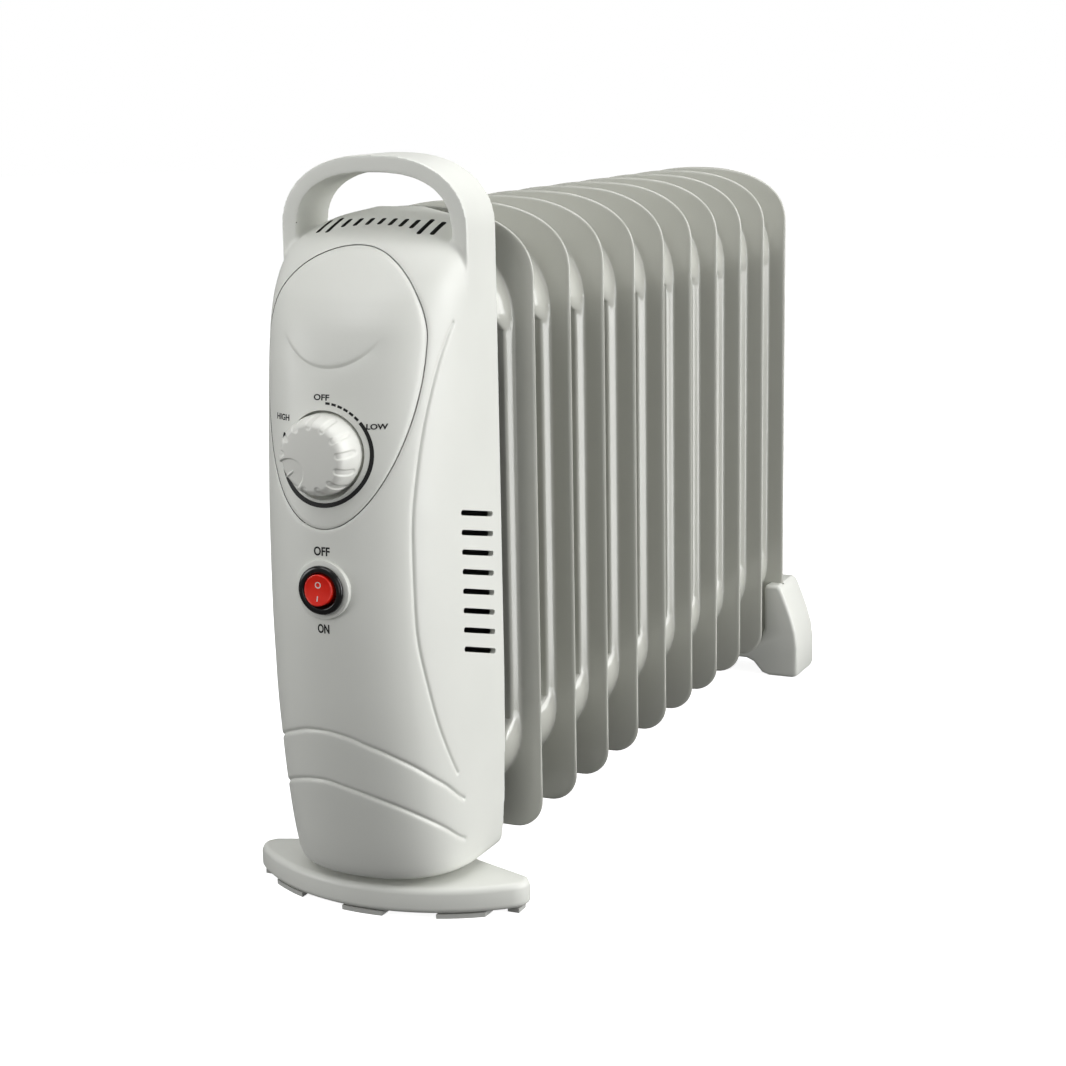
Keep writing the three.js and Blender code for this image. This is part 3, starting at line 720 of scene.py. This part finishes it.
def middle_mm(node):
    return (low_mm(node) + high_mm(node)) / 2


def tube_x(name, radius, y, z, x0, x1, sides=32):
    """A round bar along X."""
    return prism(name, circle(radius, y, z, sides), 0, x0, x1)


def finish_piece(obj, material, body, replaces=None, sharp=None):
    """Sets a piece's material, body and the CAD node that it replaces."""
    obj.data.materials.clear()
    obj.data.materials.append(material)
    set_smooth(obj)
    if sharp:
        obj.data.set_sharp_from_angle(angle=math.radians(sharp))
    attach(obj, body)
    if replaces:
        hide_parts(replaces)
    return obj


skin, panel = build_housing()
finish_piece(skin, plastic, "chassis", "housing_shell", sharp=40)
# The inside of the housing is painted near-black as shade.
paint_inside_shade(skin, inside_painted_shade)
finish_piece(panel, plastic, "chassis", "control_insert", sharp=40)


# ---- Fins: pressed steel halves as height maps over one outline ----
SHOULDER = 300.0
CORNER = 15.0
POCKET = 4.9
RIM = 0.3
SHEET = 0.8
POCKET_BEVEL = 4.4
# The header domes at the top and bottom of each fin, above and below these heights.
UPPER_DOME, LOWER_DOME = 277.0, 79.0
DOME_RADIUS = 13.0
DOME_INSET, DOME_CORNER = 0.9, 5.0
SWELL = 0.26


def fin_outline(steps_side=56, steps_arch=34, steps_corner=10):
    right = [(x, FIN_BOTTOM) for x in np.linspace(0, FIN_HALF - CORNER, 12)[:-1]]
    for i in range(steps_corner + 1):
        t = -math.pi / 2 + i / steps_corner * math.pi / 2
        right.append((FIN_HALF - CORNER + CORNER * math.cos(t), FIN_BOTTOM + CORNER + CORNER * math.sin(t)))
    low, high = FIN_BOTTOM + CORNER, SHOULDER
    right += [(FIN_HALF, z) for z in np.linspace(low, high, steps_side)[1:-1]]
    for i in range(steps_arch + 1):
        t = i / steps_arch * math.pi / 2
        right.append((FIN_HALF * math.cos(t) ** (2 / ARCH_POWER),
                      SHOULDER + (FIN_TOP - SHOULDER) * math.sin(t) ** (2 / ARCH_POWER)))
    left = [(-x, z) for x, z in right[1:-1]][::-1]
    return np.array(right + left)


def soft_both(a, b, radius):
    """Distance inside two bounds at once, with the corner between them rounded."""
    near = (a < radius) & (b < radius)
    corner = radius - np.hypot(np.maximum(radius - a, 0), np.maximum(radius - b, 0))
    return np.where(near, corner, np.minimum(a, b))


POCKET_HALF = 49.9
# Where each end of the pocket starts to curve, how far it reaches, and the power of its curve.
POCKET_TOP = (281.0, 45.0, 2.0)
POCKET_BOTTOM = (75.0, 38.0, 2.2)


def pocket_measure(flat):
    """Below 1 inside the pressed pocket, 1 on its outline."""
    x, z = np.abs(flat[:, 0]) / POCKET_HALF, flat[:, 1]
    rise = np.maximum(z - POCKET_TOP[0], 0) / POCKET_TOP[1]
    above = x ** POCKET_TOP[2] + rise ** POCKET_TOP[2]
    drop = np.maximum(POCKET_BOTTOM[0] - z, 0) / POCKET_BOTTOM[1]
    below = x ** POCKET_BOTTOM[2] + drop ** POCKET_BOTTOM[2]
    return np.maximum(above, below)


def pocket_outline(outline, anchor):
    """Where the lines from the outline to the anchors cross the pocket's outline."""
    low, high = np.zeros(len(outline)), np.ones(len(outline))
    for _ in range(30):
        mid = (low + high) / 2
        within = pocket_measure(anchor + mid[:, None] * (outline - anchor)) < 1
        low, high = np.where(within, mid, low), np.where(within, high, mid)
    return anchor + low[:, None] * (outline - anchor)


def fin_height(flat, edge, inner, reach):
    """Half thickness of a fin from the distances to its edge and into its pocket."""
    height = RIM + (SHEET - RIM) * smoothstep(edge, 0, 0.6)
    height = height + (POCKET - SHEET) * smoothstep(inner, 0, POCKET_BEVEL)
    rise = reach - POCKET
    upper = soft_both(inner - DOME_INSET, flat[:, 1] - UPPER_DOME, DOME_CORNER)
    lower = soft_both(inner - DOME_INSET, LOWER_DOME - flat[:, 1], DOME_CORNER)
    for inside, away in ((upper, flat[:, 1] - 254.0), (lower, 100.0 - flat[:, 1])):
        t = np.clip(inside / DOME_RADIUS, 0, 1)
        dome = np.sqrt(1 - (1 - t) ** 2)
        swell = smoothstep(away, 0, 26) * smoothstep(inner, 1, 24) * SWELL
        height = height + rise * np.maximum(dome, swell)
    return np.minimum(height, reach)


def fin_mesh(name, y, front_reach, back_reach):
    """One fin: a front and a back height map on rings from the outline to a middle line."""
    outline = fin_outline()
    count = len(outline)
    anchor = np.stack([np.zeros(count), np.clip(outline[:, 1], 62, 292)], axis=1)
    pocket = pocket_outline(outline, anchor)
    flange_steps = [0, 0.03, 0.07, 0.2, 0.45, 0.75, 0.93]
    pocket_steps = np.concatenate([np.linspace(0, 0.14, 15), np.linspace(0.165, 0.45, 13),
                                   np.linspace(0.52, 1, 6)])
    flat = np.concatenate([outline + (pocket - outline) * t for t in flange_steps]
                          + [pocket + (anchor - pocket) * t for t in pocket_steps])
    rows = len(flange_steps) + len(pocket_steps)
    edge = distance_to_line(flat, np.concatenate([outline, outline[:1]]))
    inner = distance_to_line(flat, np.concatenate([pocket, pocket[:1]]))
    inner[:len(flange_steps) * count] = 0
    edge[:count] = 0
    points = []
    for side, reach in ((-1, front_reach), (1, back_reach)):
        height = fin_height(flat, edge, inner, reach)
        block = np.stack([flat[:, 0], y + side * height, flat[:, 1]], axis=1)
        points.append(block)
    total = len(flat)
    front = ring_faces(rows, count)
    back = [tuple(total + v for v in reversed(f)) for f in front]
    rim = [(i, i + total, (i + 1) % count + total, (i + 1) % count) for i in range(count)]
    obj = make_object(name, np.concatenate(points), front + back + rim, enamel)
    bm = bmesh.new()
    bm.from_mesh(obj.data)
    bmesh.ops.remove_doubles(bm, verts=bm.verts, dist=2e-6)
    bmesh.ops.dissolve_degenerate(bm, edges=bm.edges, dist=1e-7)
    bmesh.ops.recalc_face_normals(bm, faces=bm.faces)
    bm.to_mesh(obj.data)
    bm.free()
    return obj


for number in range(FIN_COUNT):
    label = f"fin_{number + 1:02d}"
    front = FRONT_REACH if number == 0 else HEADER_REACH
    fin = fin_mesh(f"pressed_{label}", number * PITCH, front, HEADER_REACH)
    finish_piece(fin, enamel, "chassis", label, sharp=50)


# ---- Thermostat knob ----
GRIPS = 13
KNOB_SIDES = 24 * GRIPS
POINTER_ANGLE = math.radians(215)
FLUTE_AT, FLUTE_HALF_LENGTH, FLUTE_HALF_WIDTH, FLUTE_DEPTH = 18.6, 3.6, 1.7, 0.55
SCOOP_AT, SCOOP_RADIUS, SCOOP_DEPTH = 14.5, 9.5, 0.9
MARK_AT, MARK_HALF_LENGTH, MARK_HALF_WIDTH, MARK_HEIGHT = 14.0, 2.4, 0.55, 0.55


def knob_profile():
    """Radius and depth from the centre of the face out over the shoulder and back to the axis."""
    depth = KNOB_BACK - KNOB_FRONT
    face = KNOB_RADIUS * 0.74
    points = [(r, KNOB_FRONT + 0.5 * (r / face) ** 2) for r in np.linspace(0, face, 30)]
    for i in range(1, 31):
        t = i / 30 * math.pi / 2
        points.append((face + (KNOB_RADIUS - 0.15 - face) * math.sin(t) ** 0.9,
                       KNOB_FRONT + 0.5 + depth * 0.62 * (1 - math.cos(t))))
    shoulder = points[-1][1]
    points += [(KNOB_RADIUS - 0.15 + 0.15 * t, shoulder + (KNOB_BACK - 0.5 - shoulder) * t)
               for t in np.linspace(0.1, 1, 8)]
    points += [(KNOB_RADIUS - 0.5, KNOB_BACK)]
    points += [(r, KNOB_BACK) for r in np.linspace(KNOB_RADIUS - 2, 3.3, 5)]
    points += [(3.3, KNOB_FRONT + 6.5), (0, KNOB_FRONT + 6.5)]
    return points


def build_knob():
    """A turned cap with flutes round its shoulder, and a scoop with a raised mark as its pointer."""
    knob = turned("knob_cap", knob_profile(), 0, DIAL_Z, KNOB_SIDES, knob_plastic)
    mesh = knob.data
    co = coordinates(mesh)
    normals = vertex_normals(mesh)
    x, z = co[:, 0], co[:, 2] - DIAL_Z
    radius = np.hypot(x, z)
    angle = np.arctan2(z, x)
    outer = (co[:, 1] < KNOB_BACK - 1.5) & (normals[:, 1] < 0.4)
    along = radius + (co[:, 1] - KNOB_FRONT) * 0.45
    pitch = 2 * math.pi / GRIPS
    start = POINTER_ANGLE + pitch / 2
    nearest = (angle - start + pitch / 2) % pitch - pitch / 2
    across = nearest * np.maximum(radius, 1)
    ends = np.abs(along - FLUTE_AT) - FLUTE_HALF_LENGTH
    inside = FLUTE_HALF_WIDTH - np.hypot(across, np.maximum(ends, 0))
    flute = FLUTE_DEPTH * smoothstep(inside, 0.0, 0.55)
    near_pointer = np.abs((angle - POINTER_ANGLE + math.pi) % (2 * math.pi) - math.pi) < 0.3
    depth = np.where(outer & ~near_pointer, flute, 0)
    along_pointer = x * math.cos(POINTER_ANGLE) + z * math.sin(POINTER_ANGLE)
    off_pointer = -x * math.sin(POINTER_ANGLE) + z * math.cos(POINTER_ANGLE)
    bowl = SCOOP_RADIUS - np.hypot(along_pointer - SCOOP_AT, off_pointer * 1.25)
    scoop = SCOOP_DEPTH * smoothstep(bowl, 0.0, 0.8) * smoothstep(along_pointer, 3, 12)
    depth = np.where(outer, np.maximum(depth, scoop), depth)
    past_end = np.maximum(np.abs(along_pointer - MARK_AT) - MARK_HALF_LENGTH, 0)
    mark = smoothstep(MARK_HALF_WIDTH - np.hypot(past_end, off_pointer), 0, 0.3)
    depth = np.where(outer, depth - MARK_HEIGHT * mark, depth)
    set_coordinates(mesh, co - normals * depth[:, None])
    return knob


finish_piece(build_knob(), knob_plastic, "knob", "thermostat_knob", sharp=60)


# ---- Rocker switch ----
ROCKER_RADIUS = 7.3
ROCKER_TILT = math.radians(-7)
ROCKER_PIVOT = frame["record"]["behaviour"]["joints"][1]["pos_m"]
PIVOT_Y = ROCKER_PIVOT[1] / MM - FIRST_FIN_Y
ROCKER_FRONT = PIVOT_Y - 6.1
ROCKER_BACK = PIVOT_Y + 5.3
ROCKER_EDGE = 0.6
ROCKER_DISH = 1.15


def build_bezel():
    """The switch's round rim with its barrel behind it."""
    r = BEZEL_RADIUS
    face = BEZEL_FACE
    inner = ROCKER_RADIUS + 0.9
    flush = BOSS_FACE - 0.3
    profile = [(inner - 0.1, -97), (inner - 0.1, face + 1.6), (inner, face + 0.7), (inner + 0.3, face + 0.25),
               (inner + 0.7, face + 0.02), (inner + 1.2, face), (r - 1.5, face), (r - 0.8, face + 0.15),
               (r - 0.25, face + 0.55), (r - 0.02, face + 1.1), (r, flush - 0.2), (r - 0.1, flush),
               (BARREL_RADIUS, flush), (BARREL_RADIUS, -84.2), (BARREL_RADIUS - 0.4, -84), (0, -84), (0, -97),
               (inner - 0.1, -97)]
    return turned("switch_bezel", profile, 0, SWITCH_Z, 128, bezel_black)


def tilted(co):
    """Turns points about the rocker's pivot by its rest tilt."""
    y, z = co[:, 1] - PIVOT_Y, co[:, 2] - SWITCH_Z
    c, s = math.cos(ROCKER_TILT), math.sin(ROCKER_TILT)
    out = co.copy()
    out[:, 1] = PIVOT_Y + y * c - z * s
    out[:, 2] = SWITCH_Z + y * s + z * c
    return out


def build_rocker():
    """The rocker's cap: its front is dished between its upper and lower edge."""
    edge = ROCKER_EDGE
    profile = [(r, ROCKER_FRONT) for r in np.linspace(0, ROCKER_RADIUS - edge, 16)]
    profile += [(ROCKER_RADIUS - edge + edge * math.sin(t), ROCKER_FRONT + edge - edge * math.cos(t))
                for t in np.linspace(0.2, math.pi / 2, 6)]
    profile += [(ROCKER_RADIUS, y) for y in np.linspace(ROCKER_FRONT + 1.4, ROCKER_BACK, 8)]
    profile += [(0, ROCKER_BACK)]
    rocker = turned("rocker_cap", profile, 0, SWITCH_Z, 96, red)
    co = coordinates(rocker.data)
    z = (co[:, 2] - SWITCH_Z) / ROCKER_RADIUS
    front = smoothstep(PIVOT_Y - 3 - co[:, 1], 0, 3)
    co[:, 1] += front * ROCKER_DISH * (1 - z ** 2)
    set_coordinates(rocker.data, tilted(co))
    return rocker


finish_piece(build_bezel(), bezel_black, "chassis", "switch_body", sharp=50)
rocker = finish_piece(build_rocker(), red, "rocker", "switch_rocker", sharp=50)


# ---- Printed marks, laid on the surface below them ----
class Surface:
    """Finds where a line along Y meets a piece."""

    def __init__(self, *objects):
        self.trees = []
        for obj in objects:
            bm = bmesh.new()
            bm.from_mesh(obj.data)
            self.trees.append(BVHTree.FromBMesh(bm))
            bm.free()

    def depth(self, x, z):
        origin = Vector((x * MM, (FIRST_FIN_Y - 200) * MM, z * MM))
        hits = []
        for tree in self.trees:
            hit = tree.ray_cast(origin, Vector((0, 1, 0)))[0]
            if hit:
                hits.append(hit.y / MM - FIRST_FIN_Y)
        return min(hits) if hits else None


def lay_on(name, flat, faces, ground, material, body, slot, thick=0.12):
    """A thin closed film following the ground, from 2-D points in X, Z."""
    flat = np.asarray(flat, float)
    depth = [ground.depth(x, z) for x, z in flat]
    known = [d for d in depth if d is not None]
    depth = [d if d is not None else max(known) for d in depth]
    front = [(x, d - thick, z) for (x, z), d in zip(flat, depth)]
    back = [(x, d + thick, z) for (x, z), d in zip(flat, depth)]
    total = len(flat)
    all_faces = [tuple(f) for f in faces] + [tuple(total + v for v in reversed(f)) for f in faces]
    edges = {}
    for f in faces:
        for a, b in zip(f, list(f[1:]) + [f[0]]):
            key = (min(a, b), max(a, b))
            edges[key] = None if key in edges else (a, b)
    all_faces += [(b, a, a + total, b + total) for a, b in (e for e in edges.values() if e)]
    obj = make_object(name, front + back, all_faces)
    outward(obj)
    return finish_piece(obj, material, body, sharp=40)


def ribbon(centre, radius, start, end, width_start, width_end, steps):
    """An arc band between two clock angles, in degrees clockwise from twelve."""
    flat = []
    for i in range(steps + 1):
        t = i / steps
        angle = math.radians(90 - (start + (end - start) * t))
        half = (width_start + (width_end - width_start) * t) / 2
        for r in (radius - half, radius, radius + half):
            flat.append((centre[0] + r * math.cos(angle), centre[1] + r * math.sin(angle)))
    faces = []
    for i in range(steps):
        for k in range(2):
            a = i * 3 + k
            faces.append((a, a + 1, a + 4, a + 3))
    return flat, faces


def lettering(text, size, centre, width=1.0):
    """The filled outline of a word as 2-D points and faces."""
    curve = bpy.data.curves.new("word", "FONT")
    curve.body = text
    curve.size = size
    curve.offset = 0.026 * size
    curve.align_x = "CENTER"
    curve.align_y = "CENTER"
    curve.resolution_u = 4
    obj = bpy.data.objects.new("word", curve)
    bpy.context.scene.collection.objects.link(obj)
    graph = bpy.context.evaluated_depsgraph_get()
    mesh = bpy.data.meshes.new_from_object(obj.evaluated_get(graph))
    bm = bmesh.new()
    bm.from_mesh(mesh)
    bmesh.ops.remove_doubles(bm, verts=bm.verts, dist=1e-4)
    bmesh.ops.triangulate(bm, faces=bm.faces)
    bm.verts.index_update()
    flat = [(centre[0] + v.co.x * width, centre[1] + v.co.y) for v in bm.verts]
    faces = [tuple(v.index for v in f.verts) for f in bm.faces]
    bm.free()
    bpy.data.objects.remove(obj)
    bpy.data.curves.remove(curve)
    bpy.data.meshes.remove(mesh)
    return flat, faces


front_ground = Surface(skin, panel)
DIAL = (0.0, DIAL_Z)
PRINT_RADIUS = 23.1
# Clock angles in degrees: the dashes run from the top to LOW, and the arc on from LOW to HIGH.
LOW_AT = 50
HIGH_AT = 290
OFF_DASHES = 6
for i in range(OFF_DASHES):
    begin = 2 + i * (LOW_AT - 3) / OFF_DASHES
    band = ribbon(DIAL, PRINT_RADIUS, begin, begin + 5.6, 1.1, 1.1, 4)
    lay_on(f"print_dash_{i + 1}", *band, front_ground, print_ink, "chassis", "black_plastic")
band = ribbon(DIAL, PRINT_RADIUS, LOW_AT, HIGH_AT, 1.5, 2.7, 90)
lay_on("print_scale_arc", *band, front_ground, print_ink, "chassis", "black_plastic")

for label, text, size, place, width in (
    ("dial_off", "OFF", 3.7, (-1.4, DIAL_Z + 25.5), 1.25),
    ("dial_low", "LOW", 3.4, (24.7, DIAL_Z + 12.9), 1.1),
    ("dial_high", "HIGH", 3.8, (-23.9, DIAL_Z + 15.0), 1.0),
    ("switch_off", "OFF", 5.6, (-0.3, SWITCH_Z + 17.5), 0.85),
    ("switch_on", "ON", 5.8, (-0.4, SWITCH_Z - 18.9), 0.68),
):
    flat, faces = lettering(text, size, place, width)
    lay_on(f"print_{label}", flat, faces, front_ground, print_ink, "chassis", "black_plastic")

rocker_ground = Surface(rocker)
ring = ribbon((0.0, SWITCH_Z + 3.0), 1.3, 0, 360, 0.42, 0.42, 32)
lay_on("rocker_mark_open", *ring, rocker_ground, white_ink, "rocker", "body_plastic", 0.05)
bar_points = [(-0.22, SWITCH_Z - 4.4), (0.22, SWITCH_Z - 4.4), (0.22, SWITCH_Z - 2.0),
              (-0.22, SWITCH_Z - 2.0)]
lay_on("rocker_mark_closed", bar_points, [(0, 1, 2, 3)], rocker_ground, white_ink, "rocker",
       "body_plastic", 0.05)


# ---- Feet ----
FOOT_ARC_RADIUS = 104.0
FOOT_ARC_CENTRE_Y = 20
FOOT_BAR_TOP = 15.6
FOOT_EDGE, BRIDGE_EDGE = 3.2, 2.6
WELL_RADIUS, BOLT_RADIUS = 11, 3


def bore_foot(foot, y, well_top):
    """Cuts the wing nut's well from below and the bolt's hole through it."""
    combine(foot, prism("well", circle(WELL_RADIUS, 0, y, 48), 2, 0, well_top), "DIFFERENCE")
    combine(foot, prism("hole", circle(BOLT_RADIUS, 0, y, 32), 2, 0, 30), "DIFFERENCE")


def front_foot():
    """A bar with an arc as its front edge, and a saddle under the first fin."""
    half = []
    end_angle = math.asin((FOOT_HALF - 5) / FOOT_ARC_RADIUS)
    for i in range(25):
        t = i / 24 * end_angle
        half.append((FOOT_ARC_RADIUS * math.sin(t), FOOT_ARC_CENTRE_Y - FOOT_ARC_RADIUS * math.cos(t)))
    half += [(FOOT_HALF - 1.6, -54.4), (FOOT_HALF, -50.5), (FOOT_HALF, -47), (FOOT_HALF - 3, -42.5)]
    half += [(40, -31), (31, -25.5), (25.5, -20), (22, -12), (22, 12)]
    outline = half + [(-x, y) for x, y in half[:0:-1]]
    top = high_mm("front_foot").z
    foot = prism("foot_bar", outline, 2, FOOT_BASE, FOOT_BAR_TOP)
    modify(foot, "BEVEL", width=FOOT_EDGE * MM, segments=5, limit_method="ANGLE",
           angle_limit=math.radians(60))
    saddle = prism("saddle", [(-14, -10), (14, -10), (14, 10), (-14, 10)], 2, 11.0, top)
    combine(foot, saddle, "UNION")
    bore_foot(foot, 0, 9.2)
    return foot


def rear_foot():
    """A bridge between two ears, slotted to grip the last fin."""
    half = [(38, 10.5), (43, 8.5), (49, 1.6), (54, 0), (70, 0), (72.8, 1), (74, 3.6), (74, 20), (72.6, 31),
            (69.4, 42), (63.5, 57), (62, 60), (59.5, 62), (53, 62), (51.2, 61), (50.5, 58.6), (50.5, 32),
            (48.5, 27), (44, 22.2), (14, 22.2), (14, 17.2)]
    outline = half + [(-x, z) for x, z in half[::-1]]
    foot = prism("foot_bridge", outline, 1, REAR_FOOT_FRONT, REAR_FOOT_BACK)
    modify(foot, "BEVEL", width=BRIDGE_EDGE * MM, segments=4, limit_method="ANGLE",
           angle_limit=math.radians(60))
    last = (FIN_COUNT - 1) * PITCH
    slot_half = 1.5
    box = [(-FIN_HALF - 0.7, last - slot_half), (FIN_HALF + 0.7, last - slot_half),
           (FIN_HALF + 0.7, last + slot_half), (-FIN_HALF - 0.7, last + slot_half)]
    combine(foot, prism("slot", box, 2, FIN_BOTTOM - 0.6, 80), "DIFFERENCE")
    bore_foot(foot, last, 13)
    return foot


finish_piece(front_foot(), plastic, "chassis", "front_foot", sharp=35)
finish_piece(rear_foot(), plastic, "chassis", "rear_foot", sharp=35)

# ---- Finishes of the CAD nodes that stay ----
NODE_FINISH = {
    "heating_element": brushed, "element_flange": brass, "element_terminal": brass, "oil_filler_plug": brass,
    "lower_gallery_cap": enamel, "thermostat_body": phenolic, "thermostat_terminal": brass,
    "thermostat_shaft": brass, "switch_terminal": brass, "mounting_plate": zinc, "housing_screw": zinc,
    "thermal_cutout": phenolic, "terminal_block": plastic, "cord_gland": rubber, "front_foot_clamp": zinc,
    "front_foot_wing_nut": zinc, "rear_foot_clamp": zinc, "rear_foot_wing_nut": zinc, "foot_pad": pad_rubber,
}
for name, obj in nodes.items():
    for prefix, material in NODE_FINISH.items():
        if name.startswith(prefix):
            obj.data.materials.clear()
            obj.data.materials.append(material)

# ---- Floor, light and camera ----
FLOOR_GLOW = 0.86
floor_material = surface("floor", (0.9, 0.9, 0.9), 0.6, grain=300.0, vary=0.01)
floor_shader = floor_material.node_tree.nodes["Principled BSDF"]
floor_shader.inputs["Emission Color"].default_value = (1, 1, 1, 1)
floor_shader.inputs["Emission Strength"].default_value = FLOOR_GLOW
bpy.ops.mesh.primitive_circle_add(vertices=96, radius=8, fill_type="NGON")
floor = bpy.context.object
floor.name = "floor"
floor.data.materials.append(floor_material)

world = bpy.data.worlds.new("studio")
bpy.context.scene.world = world
world.use_nodes = True
SKY, HORIZON, GROUND = 0.24, 0.16, 0.09
BACKDROP = 1.0


def studio_world():
    """A white backdrop, with soft ambient light that comes mostly from above."""
    tree = world.node_tree
    ambient = tree.nodes["Background"]
    place = tree.nodes.new("ShaderNodeTexCoord")
    split = tree.nodes.new("ShaderNodeSeparateXYZ")
    tree.links.new(place.outputs["Generated"], split.inputs["Vector"])
    height = tree.nodes.new("ShaderNodeMapRange")
    height.inputs["From Min"].default_value = -1
    tree.links.new(split.outputs["Z"], height.inputs["Value"])
    stops = [(0.35, (GROUND,) * 3), (0.55, (HORIZON,) * 3), (0.9, (SKY,) * 3)]
    grey = ramp(tree, height.outputs["Result"], stops)
    tree.links.new(grey, ambient.inputs["Color"])
    backdrop = tree.nodes.new("ShaderNodeBackground")
    backdrop.inputs["Color"].default_value = (1, 1, 1, 1)
    backdrop.inputs["Strength"].default_value = BACKDROP
    ray = tree.nodes.new("ShaderNodeLightPath")
    choice = tree.nodes.new("ShaderNodeMixShader")
    tree.links.new(ray.outputs["Is Camera Ray"], choice.inputs["Fac"])
    tree.links.new(ambient.outputs["Background"], choice.inputs[1])
    tree.links.new(backdrop.outputs["Background"], choice.inputs[2])
    tree.links.new(choice.outputs["Shader"], tree.nodes["World Output"].inputs["Surface"])


studio_world()
floor.visible_diffuse = False
floor.visible_glossy = False
bpy.context.scene.view_settings.view_transform = "Standard"


def area_light(name, place, target, size, power):
    """A square lamp, out of the camera's sight."""
    light = bpy.data.lights.new(name, "AREA")
    light.size = size
    light.energy = power
    obj = bpy.data.objects.new(name, light)
    obj.location = place
    obj.rotation_euler = (Vector(target) - Vector(place)).to_track_quat("-Z", "Y").to_euler()
    obj.visible_camera = False
    bpy.context.scene.collection.objects.link(obj)


# Name, place and target in metres, size in metres, power in watts.
LIGHTS = (
    ("key", (1.7, 0.28, 0.75), (0, 0, 0.2), 1.4, 30),
    ("front", (-0.15, -0.8, 0.95), (0, -0.15, 0.24), 0.55, 2.6),
    ("top", (0.1, 0.35, 1.5), (0, 0.1, 0.2), 1.2, 12),
    ("left_fill", (-1.3, -1.2, 0.5), (0, -0.2, 0.2), 0.8, 8.5),
    ("low_front", (0.25, -1.5, 0.12), (0, -0.2, 0.05), 0.5, 1.5),
    ("low_right", (0.9, -0.2, 0.05), (0, 0.1, 0.1), 0.4, 2.4),
)
for light_values in LIGHTS:
    area_light(*light_values)

# The photo's camera.
CAMERA_MM = (482.5, -929.2, 398.3)
AZIMUTH, ELEVATION, ROLL = (math.radians(v) for v in (24.591, 12.277, -1.003))
SENSOR = 36.0
LENS = 71.96


def photo_camera():
    toward = Vector((-math.sin(AZIMUTH) * math.cos(ELEVATION), math.cos(AZIMUTH) * math.cos(ELEVATION),
                     -math.sin(ELEVATION)))
    right = toward.cross(Vector((0, 0, 1))).normalized()
    up = right.cross(toward)
    c, s = math.cos(ROLL), math.sin(ROLL)
    turned_right = c * right + s * up
    turned_up = -s * right + c * up
    data = bpy.data.cameras.new("camera")
    data.sensor_width = SENSOR
    data.lens = LENS
    data.clip_start = 0.01
    camera = bpy.data.objects.new("camera", data)
    bpy.context.scene.collection.objects.link(camera)
    rotation = Matrix((turned_right, turned_up, -toward)).transposed().to_4x4()
    place = Vector((CAMERA_MM[0], CAMERA_MM[1] + FIRST_FIN_Y, CAMERA_MM[2])) * MM
    camera.matrix_world = Matrix.Translation(place) @ rotation
    bpy.context.scene.camera = camera


photo_camera()
